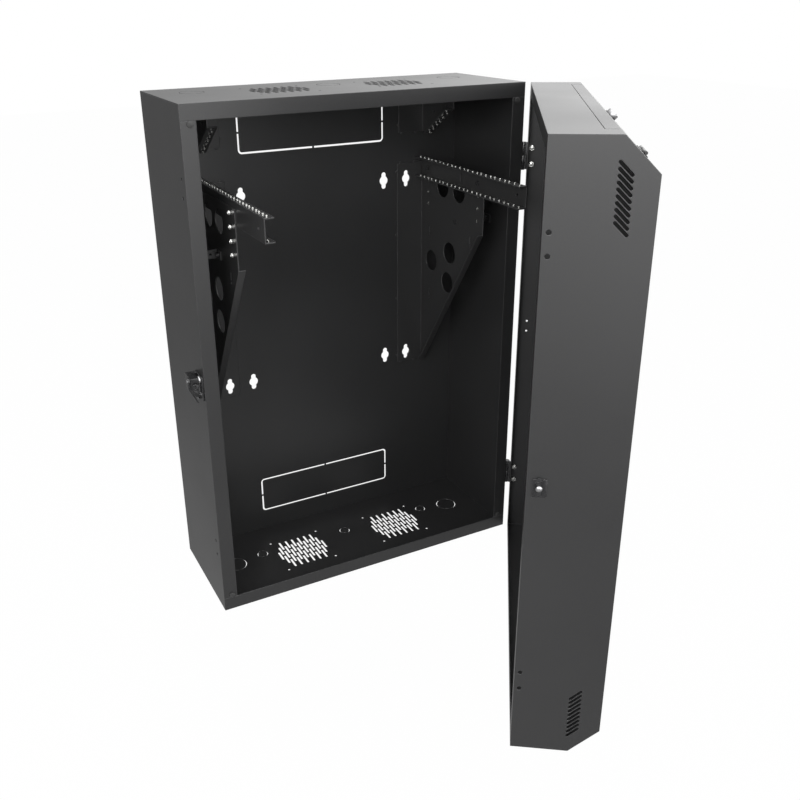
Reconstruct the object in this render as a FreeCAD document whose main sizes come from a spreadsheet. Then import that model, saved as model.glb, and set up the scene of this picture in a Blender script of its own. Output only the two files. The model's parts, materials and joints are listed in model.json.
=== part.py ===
import FreeCAD, Part
import math
import os
import re
import Sketcher
from FreeCAD import Vector

# Wall mount cabinet for 19-inch equipment hung vertically: a shallow sheet metal body, a deep swing
# door with bevelled ends, and a pair of rails on triangular brackets.  Millimetres.  The drawing
# frame has x = 0 on the centre line, y = 0 on the wall and z = 0 under the cabinet; each sub-part is
# placed so that the centre of the wall hole pattern is the origin of the part.
SIZES = (
    ("cabinet_width", 640, "body, outside width"),
    ("cabinet_height", 935, "body, outside height"),
    ("cabinet_depth", 237, "body, wall to front lip"),
    ("skin", 1.5, "sheet of body, door and hatch"),
    ("front_lip", 26, "front lip, width"),
    ("row_drop", 200.5, "upper row of wall holes below the roof"),
    ("row_pitch", 381, "between the two rows of wall holes"),
    ("wall_inset", 39.85, "outer wall holes from the bracket's outer face"),
    ("wall_step", 50.8, "outer to inner wall holes"),
    ("clover_bore", 9.2, "wall hole, radius of its round middle"),
    ("clover_slot", 5, "wall hole, half width of its slot"),
    ("clover_reach", 11.7, "wall hole, centre to the slot's end centre"),
    ("knockout_width", 300, "cable knockout, width"),
    ("knockout_height", 75, "cable knockout, height"),
    ("knockout_edge", 46, "cable knockout from the body's end"),
    ("slit", 3.4, "slit round the cable knockout"),
    ("slit_corner", 8, "outer corner radius of that slit"),
    ("bridge", 3.4, "uncut bridge in a slit"),
    ("fan_offset", 110, "fan centre from the centre line"),
    ("fan_depth", 120, "fan centre from the wall"),
    ("fan_bolt_pitch", 105, "fan screw spacing"),
    ("fan_bolt_hole", 2.5, "fan screw hole radius"),
    ("grille_pitch", 14, "between grille slots, side to side"),
    ("grille_row", 16.6, "between grille rows"),
    ("grille_reach", 12.5, "half of a grille slot, to its end centre"),
    ("grille_slot", 2.3, "half width of a grille slot"),
    ("gland_small", 11.1, "small round knockout, radius"),
    ("gland_big", 21.8, "large round knockout, radius"),
    ("gland_slit", 1.6, "slit round a round knockout"),
    ("gland_bridge", 3, "bridge across that slit"),
    ("gland_small_offset", 190.5, "small knockouts from the centre line"),
    ("gland_small_depth", 94.5, "small knockouts from the wall"),
    ("gland_big_offset", 252.5, "large knockouts from the centre line"),
    ("gland_big_depth", 105, "large knockouts of the floor from the wall"),
    ("gland_roof_depth", 80, "large knockouts of the roof from the wall"),
    ("rack_span", 465.1, "between the two lines of rack holes"),
    ("rack_unit", 44.45, "rack unit"),
    ("rack_step", 15.875, "first to second and second to third rack hole"),
    ("rack_hole", 2.5, "rack hole, radius"),
    ("rack_first", 12.7, "first rack hole from the wall"),
    ("bracket_gauge", 2, "sheet of brackets, rails and braces"),
    ("bracket_plate", 60, "bracket, width against the back panel"),
    ("arm_clear", 4, "bracket arm behind the front lip"),
    ("bracket_foot", 21, "bracket's lower end below the lower wall holes"),
    ("bracket_rise", 31, "bracket's upper end above the upper wall holes"),
    ("bracket_front", 105.5, "bracket's front edge, height"),
    ("bracket_toe", 15, "bracket's lower end from the wall"),
    ("slope_flange", 13, "flange along the bracket's slope"),
    ("window_radius", 21.7, "round windows in the bracket"),
    ("window_1_back", 86, "first window from the wall"),
    ("window_1_drop", 37.5, "first window below the bracket's top"),
    ("window_2_back", 146, "second window from the wall"),
    ("window_2_drop", 37.5, "second window below the top"),
    ("window_3_back", 44.6, "third window from the wall"),
    ("window_3_drop", 199.5, "third window below the top"),
    ("window_4_back", 115.5, "fourth window from the wall"),
    ("window_4_drop", 167, "fourth window below the top"),
    ("window_5_back", 109, "fifth window from the wall"),
    ("window_5_drop", 231, "fifth window below the top"),
    ("lance_reach", 5.5, "half of a slit in the bracket, to its end centre"),
    ("lance_slit", 1.5, "half width of that slit"),
    ("lance_hole", 2, "hole beside the slit, radius"),
    ("lance_1_back", 37.5, "first slit from the wall"),
    ("lance_1_drop", 133.5, "first slit below the bracket's top"),
    ("lance_1_step", 12.5, "first slit to its hole"),
    ("lance_2_back", 38, "second slit from the wall"),
    ("lance_2_drop", 270.5, "second slit below the top"),
    ("lance_2_step", 15, "second slit to its hole"),
    ("lance_3_back", 191, "third slit from the wall"),
    ("lance_3_drop", 123.5, "third slit below the top"),
    ("lance_3_step", 12.5, "third slit to its hole"),
    ("nut_bore", 2.5, "clinch nut, bore radius"),
    ("nut_pilot", 3.6, "clinch nut, radius in the sheet"),
    ("nut_body", 4.6, "clinch nut, body radius"),
    ("nut_height", 5, "clinch nut, body height"),
    ("nut_drop", 9, "upper nuts below the bracket's top"),
    ("nut_step", 24, "between nuts, up and down"),
    ("nut_back", 30.5, "rear nuts from the wall"),
    ("nut_edge", 19, "front nuts behind the bracket arm's end"),
    ("rail_back", 4.5, "rail's rear end from the wall"),
    ("rail_clear", 4.5, "rail's front end to the shut door"),
    ("rail_height", 40, "rail, height of its channel"),
    ("rail_flange", 17, "rail, width of its flanges"),
    ("rail_drop", 8.5, "rail's middle below the bracket's top"),
    ("rail_hole_edge", 26, "hole in the rail's web from its front end"),
    ("rail_slot_edge", 209, "slot in the rail's web from its front end"),
    ("rail_slot_reach", 6, "half of that slot, to its end centre"),
    ("rail_slot", 3, "hole and slot in the rail's web, radius"),
    ("screw_head", 4.6, "screw head, radius"),
    ("screw_crown", 2.6, "screw head, height"),
    ("screw_play", 0.1, "screw clearance in its hole"),
    ("screw_short", 1, "rail screw's end inside the nut's end"),
    ("drive_reach", 2, "half of a screw's drive slot, to its end centre"),
    ("drive_slot", 0.6, "half width of a drive slot"),
    ("drive_depth", 1.5, "drive slot, depth"),
    ("upper_gap", 61.5, "bracket to upper bracket"),
    ("upper_height", 78, "upper bracket, height"),
    ("upper_narrow", 3, "upper bracket's plate narrower than the bracket's"),
    ("upper_toe", 40, "upper bracket, start of its slope from the wall"),
    ("upper_run", 96.5, "upper bracket, length of its slope"),
    ("upper_angle", 34, "upper bracket, slope in degrees"),
    ("upper_first", 10, "first hole from the foot of the slope"),
    ("upper_hole_1_back", 93, "first hole in the upper web from the wall"),
    ("upper_hole_1_drop", 21.3, "first hole below the upper bracket's top"),
    ("upper_hole_2_back", 48, "second hole from the wall"),
    ("upper_hole_2_drop", 35.5, "second hole below the top"),
    ("upper_hole_3_back", 41.6, "third hole from the wall"),
    ("upper_hole_3_drop", 61.2, "third hole below the top"),
    ("brace_drop", 99.5, "side brace below the bracket's top"),
    ("brace_height", 16, "side brace, height"),
    ("brace_depth", 125, "side brace from the wall"),
    ("brace_tab", 20, "side brace, length of its tabs"),
    ("brace_hole_side", 14, "hole in the brace from the bracket"),
    ("brace_hole", 2, "hole in the brace, radius"),
    ("weld_radius", 2.8, "tack weld, radius"),
    ("weld_height", 1.4, "tack weld, height above the back panel"),
    ("weld_out", 1, "tack weld's centre outside the plate's edge"),
    ("weld_side", 8, "first tack weld from the plate's side"),
    ("weld_side_pitch", 32, "between tack welds, side to side"),
    ("weld_end", 16, "first tack weld from the plate's end"),
    ("weld_pitch", 131, "between tack welds, up and down"),
    ("bumper_radius", 5.5, "bumper, radius"),
    ("bumper_height", 1.7, "bumper, height"),
    ("bumper_inset", 16, "bumper from the side"),
    ("bumper_end", 31, "bumper from the body's end"),
    ("door_gap", 2, "body to door"),
    ("door_over", 0.5, "door beyond the body's side"),
    ("door_drop", 1, "door short of the body's end"),
    ("door_depth", 133, "door, rim to front"),
    ("door_bevel", 45, "bevel at each end of the door"),
    ("door_rim", 22, "rim folded in round the door's mouth"),
    ("door_open", 55.5, "door angle as shown, degrees"),
    ("hinge_out", 6.5, "hinge axis outside the body's side"),
    ("hinge_back", 5, "hinge axis behind the front lip"),
    ("hinge_end", 132, "hinge from the body's end"),
    ("hinge_length", 50, "hinge, length"),
    ("hinge_knuckle", 4.9, "hinge knuckle, radius"),
    ("hinge_pin", 2.4, "hinge pin, radius"),
    ("hinge_play", 0.05, "pin clearance in the knuckle"),
    ("hinge_gauge", 2, "hinge leaf, thickness"),
    ("hinge_margin", 3, "hinge leaf beyond its bolt heads"),
    ("knuckle_lap", 1, "leaf inside the knuckle's radius"),
    ("neck_lap", 0.1, "neck inside the knuckle's radius"),
    ("neck_rise", 1.5, "neck beyond that, where it meets the leaf"),
    ("pin_cap", 1.5, "hinge pin's head, height"),
    ("pin_cap_in", 0.9, "hinge pin's head inside the knuckle's radius"),
    ("hinge_bolt_side", 15.25, "hinge bolts from the axis"),
    ("hinge_bolt_pitch", 30, "hinge bolts, up and down"),
    ("hinge_hole", 3.5, "hinge bolt hole, radius"),
    ("hinge_bolt", 3, "hinge bolt, radius"),
    ("bolt_head", 4.8, "hinge bolt head, radius"),
    ("bolt_crown", 3, "hinge bolt head, height"),
    ("bolt_nut", 5, "hinge nut, half width across flats"),
    ("bolt_nut_height", 4.5, "hinge nut, height"),
    ("bolt_spare", 1, "hinge bolt beyond its nut"),
    ("vent_count", 10, "slots in a vent"),
    ("vent_pitch", 8, "between vent slots"),
    ("vent_slot", 2.2, "half width of a vent slot"),
    ("vent_near", 85, "vent slot's near end from the rim"),
    ("vent_far", 100, "vent slot's far end from the rim"),
    ("vent_edge", 31, "vent from the door's end"),
    ("strike_near", 8, "strike plate from the rim"),
    ("strike_length", 20, "strike plate, length"),
    ("strike_foot", 16.5, "strike plate's lower end below the stud"),
    ("strike_height", 28, "strike plate, height"),
    ("strike_gauge", 2, "strike plate, thickness"),
    ("stud_near", 17, "strike stud from the rim"),
    ("stud_radius", 3.6, "strike stud, radius"),
    ("stud_length", 5, "strike stud, length to its head"),
    ("stud_head", 4.6, "strike stud, head radius"),
    ("stud_crown", 3.4, "strike stud, head height"),
    ("strike_screw_step", 10.5, "strike screws above and below the stud"),
    ("strike_screw_crown", 0.7, "strike screw head, height"),
    ("screw_tail", 2, "screw's end inside the sheet"),
    ("hatch_width", 552, "hatch, width"),
    ("hatch_back", 69.5, "hatch's rear edge from the rim"),
    ("hatch_drop", 56, "hatch, length down the bevel"),
    ("hatch_gap", 1, "gap round the hatch"),
    ("hatch_reach", 4, "cut for the hatch past the sheet"),
    ("hatch_knuckle", 2.4, "hatch hinge knuckle, radius"),
    ("hatch_pin", 1.2, "hatch hinge pin, radius"),
    ("hatch_leaf", 1.2, "hatch hinge leaf, thickness"),
    ("hatch_leaf_width", 5.5, "hatch hinge leaf, axis to edge"),
    ("hatch_play", 0.2, "hatch knuckle to the leaf across from it"),
    ("hatch_lift", 0.3, "hatch knuckle above the sheet"),
    ("hatch_hinge_length", 48, "hatch hinge, length"),
    ("hatch_hinge_offset", 190, "hatch hinges from the centre line"),
    ("key_down", 27, "hatch lock down the bevel"),
    ("key_collar", 9, "hatch lock, collar radius"),
    ("key_rise", 7, "hatch lock, collar height"),
    ("key_barrel", 8, "hatch lock, barrel radius"),
    ("key_depth", 19, "hatch lock, barrel length inside"),
    ("key_plug", 5, "key plug, radius"),
    ("key_slot", 1.4, "key slot, width"),
    ("key_slot_depth", 2.5, "key slot, depth"),
    ("key_slot_length", 7, "key slot, length"),
    ("plug_proud", 0.6, "key plug ahead of its collar"),
    ("plug_tail", 2, "key plug behind its barrel"),
    ("cam_length", 41, "hatch cam, axis to tip"),
    ("cam_width", 9, "hatch cam, width"),
    ("cam_gauge", 2, "hatch cam, thickness"),
    ("latch_back", 13, "latch pivot behind the front lip"),
    ("latch_rise", 10.5, "latch pivot above mid height"),
    ("latch_plate", 3, "latch base plate, thickness"),
    ("latch_gap", 0.6, "gap on each side of the hook"),
    ("latch_hook_gauge", 3, "latch hook, thickness"),
    ("latch_body", 14, "latch housing, thickness"),
    ("latch_body_front", 6, "latch housing ahead of the pivot"),
    ("latch_body_back", 31, "latch housing behind the pivot"),
    ("latch_spacer", 10.5, "latch housing's foot, length"),
    ("latch_body_low", 29, "latch housing below the pivot"),
    ("latch_body_high", 5.5, "latch housing above the pivot"),
    ("latch_plate_front", 3, "latch base plate ahead of the housing"),
    ("latch_plate_low", 38, "latch base plate below the pivot"),
    ("latch_plate_high", 6.5, "latch base plate above the pivot"),
    ("latch_shaft", 3, "latch shaft, radius"),
    ("latch_play", 0.06, "latch shaft clearance"),
    ("end_play", 0.3, "end clearance of shaft and lock"),
    ("shaft_proud", 0.5, "latch shaft beyond the lever"),
    ("lever_gauge", 4.5, "latch lever, thickness"),
    ("lever_length", 43, "latch lever, pivot to tip"),
    ("lever_thin", 2.2, "latch lever, thickness at the tip"),
    ("latch_taper", 13, "housing's slant starts below the pivot"),
    ("lever_taper", 14.5, "lever's slant starts below the pivot"),
    ("latch_slant", 0.45, "slant of housing and lever, across per unit down"),
    ("lever_top", 7, "latch lever, radius at the pivot"),
    ("lever_tip", 4.5, "latch lever, radius at the tip"),
    ("hook_arm", 4.5, "latch hook, half width of its arm"),
    ("hook_mouth", 0.5, "clearance round the strike stud"),
    ("hook_eye", 4, "hook's wall round the strike stud"),
    ("mouth_reach", 12, "hook's mouth ahead of the stud"),
    ("lock_radius", 6, "lock cylinder, radius"),
    ("lock_drop", 10, "lock cylinder below the pivot"),
    ("lock_length", 16, "lock cylinder, length"),
    ("lock_proud", 2.5, "lock cylinder ahead of the housing"),
    ("latch_screw", 1.9, "latch screw, radius"),
    ("latch_screw_head", 3.4, "latch screw head, radius"),
    ("latch_screw_sink", 1.8, "latch screw head, height"),
    ("latch_screw_front", 1, "front latch screw behind the housing's front"),
    ("latch_screw_back", 5, "rear latch screw ahead of the housing's back"),
    ("latch_screw_low", 4.5, "latch screws above the base plate's end"),
)

document = FreeCAD.newDocument("WallCabinet")
sheet = document.addObject("Spreadsheet::Sheet", "Sizes")
for row, (alias, amount, meaning) in enumerate(SIZES, start=1):
    sheet.set(f"A{row}", meaning)
    sheet.set(f"B{row}", str(amount))
    sheet.setAlias(f"B{row}", alias)
document.recompute()

ALIAS = re.compile(r"\b(" + "|".join(alias for alias, _, _ in SIZES) + r")\b")

# Places that several pieces share, each made of sizes and of the places above it.
PLACES = (
    ("side_out", "cabinet_width / 2"),
    ("side_in", "side_out - skin"),
    ("roof_in", "cabinet_height - skin"),
    ("rack_line", "rack_span / 2"),
    ("web_in", "rack_line + rail_flange / 2"),
    ("web_out", "web_in + bracket_gauge"),
    ("plate_edge", "web_out - bracket_plate"),
    ("upper_edge", "plate_edge + upper_narrow"),
    ("wall_outer", "web_out - wall_inset"),
    ("wall_inner", "wall_outer - wall_step"),
    ("row_high", "cabinet_height - row_drop"),
    ("row_low", "row_high - row_pitch"),
    ("row_middle", "(row_low + row_high) / 2"),
    ("bracket_top", "row_high + bracket_rise"),
    ("bracket_low", "row_low - bracket_foot"),
    ("bracket_nose", "bracket_top - bracket_front"),
    ("bracket_arm", "cabinet_depth - arm_clear"),
    ("nut_top", "bracket_top - nut_drop"),
    ("nut_front", "bracket_arm - nut_edge"),
    ("upper_low", "bracket_top + upper_gap"),
    ("upper_high", "upper_low + upper_height"),
    ("brace_level", "bracket_top - brace_drop"),
    ("rim_back", "cabinet_depth + door_gap"),
    ("door_front", "rim_back + door_depth"),
    ("bend", "door_front - door_bevel"),
    ("door_side", "side_out + door_over"),
    ("door_top", "cabinet_height - door_drop"),
    ("rail_level", "bracket_top - rail_drop"),
    ("rail_front", "door_front - skin - rail_clear"),
    ("rack_units", "floor((rail_front - rack_first - 2 * rack_step - 2 * rack_hole) / rack_unit) + 1"),
    ("hinge_low", "hinge_end"),
    ("hinge_high", "cabinet_height - hinge_end"),
    ("axis_x", "side_out + hinge_out"),
    ("axis_y", "hinge_back - cabinet_depth"),
    ("stud_level", "cabinet_height / 2"),
    ("latch_level", "stud_level + latch_rise"),
    ("latch_y", "latch_back - cabinet_depth"),
    ("strike_low", "stud_level - strike_foot"),
    ("stud_ahead", "latch_back + door_gap + stud_near"),
    ("stud_below", "latch_level - stud_level"),
)

BODY_PLACE = "placement(vector(0; 0; -row_middle); rotation(vector(0; 0; 1); 0))"
DOOR_PLACE = (
    "placement(vector(axis_x * (1 - cos(door_open)) + axis_y * sin(door_open);"
    " axis_y * (1 - cos(door_open)) - axis_x * sin(door_open); -row_middle);"
    " rotation(vector(0; 0; 1); door_open))"
)
# The bevel's own frame: origin on the outer bend, z out of the bevel, -y down along it.
BEVEL_PLACE = "placement(vector(0; -bend; door_top); rotation(vector(1; 0; 0); 45))"

subparts = []


def sized(text):
    """Write out the places in an expression and point its size names at the sheet."""
    for name, meaning in reversed(PLACES):
        text = re.sub(rf"\b{name}\b", f"({meaning})", text)
    return ALIAS.sub(r"Sizes.\1", text)


def value(text):
    """Number that an expression of the sheet gives."""
    result = sheet.evalExpression(sized(text))
    return float(getattr(result, "Value", result))


def bind(item, path, text):
    """Bind a property to an expression of the sheet."""
    item.setExpression(path, sized(text))


def finish(item, name, place=BODY_PLACE):
    """Name a finished sub-part and put it in its place."""
    item.Label = name
    bind(item, "Placement", place)
    subparts.append(item)
    return item


def origin_feature(body, role):
    """Plane or axis of a body's own origin."""
    return next(item for item in body.Origin.OriginFeatures if item.Role == role)


def new_body(name):
    """Empty body."""
    return document.addObject("PartDesign::Body", name + "_body")


def new_sketch(body, plane, offset=None, place=None):
    """Sketch on an origin plane, moved along its normal or placed freely."""
    sketch = body.newObject("Sketcher::SketchObject", "sketch")
    sketch.AttachmentSupport = [(origin_feature(body, plane), "")]
    sketch.MapMode = "FlatFace"
    if offset is not None:
        bind(sketch, "AttachmentOffset.Base.z", offset)
    if place is not None:
        bind(sketch, "AttachmentOffset", place)
    return sketch


def fix(sketch, kind, geometry, point, text):
    """Dimension of one coordinate of a point, bound to the sheet."""
    index = sketch.addConstraint(Sketcher.Constraint(kind, -1, 1, geometry, point, value(text)))
    bind(sketch, f"Constraints[{index}]", text)


def fix_radius(sketch, geometry, text):
    """Radius bound to the sheet."""
    index = sketch.addConstraint(Sketcher.Constraint("Radius", geometry, value(text)))
    bind(sketch, f"Constraints[{index}]", text)


def join(sketch, first, first_end, second, second_end):
    """Make two ends meet."""
    sketch.addConstraint(Sketcher.Constraint("Coincident", first, first_end, second, second_end))


def circle(sketch, across, up, radius):
    """Circle with its centre and radius bound."""
    centre = Vector(value(across), value(up), 0)
    item = sketch.addGeometry(Part.Circle(centre, Vector(0, 0, 1), value(radius)))
    fix(sketch, "DistanceX", item, 3, across)
    fix(sketch, "DistanceY", item, 3, up)
    fix_radius(sketch, item, radius)


def slot(sketch, start, end, radius):
    """Slot between two end centres."""
    first = Vector(value(start[0]), value(start[1]), 0)
    second = Vector(value(end[0]), value(end[1]), 0)
    size = value(radius)
    along = math.atan2(second.y - first.y, second.x - first.x)
    side = Vector(-math.sin(along), math.cos(along), 0) * size
    normal = Vector(0, 0, 1)
    quarter = math.pi / 2
    near_circle = Part.Circle(first, normal, size)
    far_circle = Part.Circle(second, normal, size)
    near = sketch.addGeometry(Part.ArcOfCircle(near_circle, along + quarter, along + 3 * quarter))
    far = sketch.addGeometry(Part.ArcOfCircle(far_circle, along - quarter, along + quarter))
    upper = sketch.addGeometry(Part.LineSegment(first + side, second + side))
    lower = sketch.addGeometry(Part.LineSegment(second - side, first - side))
    for line, line_end, bow, bow_end in (
        (upper, 1, near, 1),
        (upper, 2, far, 2),
        (lower, 1, far, 1),
        (lower, 2, near, 2),
    ):
        sketch.addConstraint(Sketcher.Constraint("Tangent", line, line_end, bow, bow_end))
    sketch.addConstraint(Sketcher.Constraint("Equal", near, far))
    for bow, point in ((near, start), (far, end)):
        fix(sketch, "DistanceX", bow, 3, point[0])
        fix(sketch, "DistanceY", bow, 3, point[1])
    fix_radius(sketch, near, radius)


def polygon(sketch, corners):
    """Closed outline whose corners are all bound."""
    points = [Vector(value(across), value(up), 0) for across, up in corners]
    lines = [
        sketch.addGeometry(Part.LineSegment(point, points[(index + 1) % len(points)]))
        for index, point in enumerate(points)
    ]
    for index, line in enumerate(lines):
        join(sketch, line, 2, lines[(index + 1) % len(lines)], 1)
        fix(sketch, "DistanceX", line, 1, corners[index][0])
        fix(sketch, "DistanceY", line, 1, corners[index][1])


def box_outline(sketch, left, right, low, high):
    """Rectangle between four bound edges."""
    polygon(sketch, ((left, low), (right, low), (right, high), (left, high)))


def half_ring(sketch, across, up, radius, width, gap, right):
    """Half of a ring slit, ending half a bridge short of the ring's middle line."""
    centre = Vector(value(across), value(up), 0)
    side = 1 if right else -1
    end_across = f"{across} + {side} * {gap} / 2"
    bows = []
    for size in (radius, f"({radius} - {width})"):
        swing = math.acos(value(gap) / 2 / value(size))
        middle = 0 if right else math.pi
        ring = Part.Circle(centre, Vector(0, 0, 1), value(size))
        bow = sketch.addGeometry(Part.ArcOfCircle(ring, middle - swing, middle + swing))
        fix(sketch, "DistanceX", bow, 3, across)
        fix(sketch, "DistanceY", bow, 3, up)
        fix_radius(sketch, bow, size)
        fix(sketch, "DistanceX", bow, 1, end_across)
        fix(sketch, "DistanceX", bow, 2, end_across)
        bows.append((bow, ring.value(middle - swing), ring.value(middle + swing)))
    (outer, outer_start, outer_end), (inner, inner_start, inner_end) = bows
    for end, outer_point, inner_point in ((1, outer_start, inner_start), (2, outer_end, inner_end)):
        line = sketch.addGeometry(Part.LineSegment(outer_point, inner_point))
        join(sketch, line, 1, outer, end)
        join(sketch, line, 2, inner, end)


def corner_slit(sketch, corner, toward, ends, width, radius):
    """L-shaped slit round one corner of a knockout, with its corner rounded.

    The corner is the outer one; toward gives the signs that lead into the knockout, and ends the
    coordinates where the two arms stop.
    """
    across, up = corner
    sign_x, sign_y = toward
    centre = (f"{across} + {sign_x} * {radius}", f"{up} + {sign_y} * {radius}")
    middle = Vector(value(centre[0]), value(centre[1]), 0)
    turn = math.atan2(-sign_y, -sign_x)
    clockwise = sign_x * sign_y < 0
    bows = []
    for size, inset in ((radius, "0"), (f"({radius} - {width})", width)):
        ring = Part.Circle(middle, Vector(0, 0, 1), value(size))
        bow = sketch.addGeometry(Part.ArcOfCircle(ring, turn - math.pi / 4, turn + math.pi / 4))
        fix(sketch, "DistanceX", bow, 3, centre[0])
        fix(sketch, "DistanceY", bow, 3, centre[1])
        fix_radius(sketch, bow, size)
        beside = 2 if clockwise else 1
        above = 3 - beside
        fix(sketch, "DistanceY", bow, beside, centre[1])
        fix(sketch, "DistanceX", bow, above, centre[0])
        arm_up = (f"{across} + {sign_x} * {inset}", ends[1])
        arm_across = (ends[0], f"{up} + {sign_y} * {inset}")
        upright_start = Vector(value(arm_up[0]), value(centre[1]), 0)
        upright_end = Vector(value(arm_up[0]), value(arm_up[1]), 0)
        level_start = Vector(value(centre[0]), value(arm_across[1]), 0)
        level_end = Vector(value(arm_across[0]), value(arm_across[1]), 0)
        upright = sketch.addGeometry(Part.LineSegment(upright_start, upright_end))
        level = sketch.addGeometry(Part.LineSegment(level_start, level_end))
        join(sketch, upright, 1, bow, beside)
        join(sketch, level, 1, bow, above)
        for line, point in ((upright, arm_up), (level, arm_across)):
            fix(sketch, "DistanceX", line, 2, point[0])
            fix(sketch, "DistanceY", line, 2, point[1])
        bows.append((upright, upright_end, level, level_end))
    (outer_up, point_a, outer_level, point_b), (inner_up, point_c, inner_level, point_d) = bows
    cap_up = sketch.addGeometry(Part.LineSegment(point_a, point_c))
    join(sketch, cap_up, 1, outer_up, 2)
    join(sketch, cap_up, 2, inner_up, 2)
    cap_level = sketch.addGeometry(Part.LineSegment(point_b, point_d))
    join(sketch, cap_level, 1, outer_level, 2)
    join(sketch, cap_level, 2, inner_level, 2)


def pad(body, sketch, length, symmetric=False):
    """Raise a sketch along its normal, or to both sides of it."""
    feature = body.newObject("PartDesign::Pad", "pad")
    feature.Profile = sketch
    bind(feature, "Length", length)
    if symmetric:
        feature.SideType = "Symmetric"
    body.Tip = feature
    document.recompute()
    return feature


def pocket(body, sketch, length=None, reverse=False):
    """Cut a sketch through the whole body, or a given length along its normal when reversed."""
    before = body.Shape.Volume
    feature = body.newObject("PartDesign::Pocket", "pocket")
    feature.Profile = sketch
    if length is None:
        feature.Type = "ThroughAll"
        feature.SideType = "Symmetric"
    else:
        bind(feature, "Length", length)
        feature.Reversed = reverse
        if not reverse:
            feature.SideType = "Symmetric"
    body.Tip = feature
    document.recompute()
    if not body.Shape.Volume < before - 0.01:
        raise RuntimeError(f"{body.Name}: {feature.Name} cuts nothing")
    return feature


def repeat(body, feature, role, length, count, reverse=False):
    """Repeat a feature along one of the body's axes."""
    pattern = body.newObject("PartDesign::LinearPattern", "pattern")
    pattern.Originals = [feature]
    pattern.Direction = (origin_feature(body, role), [""])
    bind(pattern, "Length", length)
    bind(pattern, "Occurrences", count)
    pattern.Reversed = reverse
    body.Tip = pattern
    document.recompute()
    return pattern


def cylinder(radius, length, position, axis="vector(0; 0; 1)", angle="0"):
    """Cylinder primitive that starts at a position."""
    item = document.addObject("Part::Cylinder", "cylinder")
    bind(item, "Radius", radius)
    bind(item, "Height", length)
    bind(item, "Placement", f"placement(vector({'; '.join(position)}); rotation({axis}; {angle}))")
    return item


def block(size, position):
    """Box primitive with its low corner at a position."""
    item = document.addObject("Part::Box", "block")
    for name, text in zip(("Length", "Width", "Height"), size):
        bind(item, name, text)
    bind(item, "Placement", f"placement(vector({'; '.join(position)}); rotation(vector(0; 0; 1); 0))")
    return item


def together(shapes, kind="Part::MultiFuse"):
    """Fuse shapes, or group them as separate solids."""
    item = document.addObject(kind, "group")
    if kind == "Part::Compound":
        item.Links = shapes
    else:
        item.Shapes = shapes
        item.Refine = True
    return item


def without(base, tools):
    """Shape with other shapes cut out of it."""
    item = document.addObject("Part::Cut", "cut")
    item.Base = base
    item.Tool = tools[0] if len(tools) == 1 else together(tools)
    return item


def mirrored(source):
    """The same shape on the other side of the centre line."""
    item = document.addObject("Part::Mirroring", "mirror")
    item.Source = source
    item.Normal = Vector(1, 0, 0)
    return item


def on_bevel(shapes):
    """Shapes of the bevel's own frame, as one group in the door's frame."""
    group = together(shapes, "Part::Compound")
    bind(group, "Placement", BEVEL_PLACE)
    return together([group], "Part::Compound")


def clovers(body, columns, rows):
    """Wall holes: a round middle with a slot above and below it, through the sheet."""
    sketch = new_sketch(body, "XZ_Plane")
    for across in columns:
        for up in rows:
            circle(sketch, across, up, "clover_bore")
    pocket(body, sketch)
    sketch = new_sketch(body, "XZ_Plane")
    for across in columns:
        for up in rows:
            low = (across, f"{up} - clover_reach")
            high = (across, f"{up} + clover_reach")
            slot(sketch, low, high, "clover_slot")
    pocket(body, sketch)


def welds(body, spots):
    """Tack welds along a bracket's edge, on the back panel."""
    sketch = new_sketch(body, "XZ_Plane", "skin")
    for across, up in spots:
        circle(sketch, across, up, "weld_radius")
    pad(body, sketch, "weld_height")


# Back panel with the two rows of wall holes and two cable knockouts.
body = new_body("back_panel")
sketch = new_sketch(body, "XZ_Plane")
box_outline(sketch, "-side_in", "side_in", "skin", "roof_in")
pad(body, sketch, "skin")
columns = ("-wall_outer", "-wall_inner", "wall_inner", "wall_outer")
clovers(body, columns, ("row_low", "row_high"))
sketch = new_sketch(body, "XZ_Plane")
slit_half = "(knockout_width / 2 + slit / 2)"
for low_edge, high_edge in (
    ("(knockout_edge - slit / 2)", "(knockout_edge + knockout_height + slit / 2)"),
    (
        "(cabinet_height - knockout_edge - knockout_height - slit / 2)",
        "(cabinet_height - knockout_edge + slit / 2)",
    ),
):
    middle_level = f"({low_edge} + {high_edge}) / 2"
    for sign_x, across in ((1, f"-{slit_half}"), (-1, slit_half)):
        for sign_y, up in ((1, low_edge), (-1, high_edge)):
            ends = (f"-{sign_x} * bridge / 2", f"{middle_level} - {sign_y} * bridge / 2")
            corner_slit(sketch, (across, up), (sign_x, sign_y), ends, "slit", "slit_corner")
pocket(body, sketch)
finish(body, "back_panel")


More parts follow.
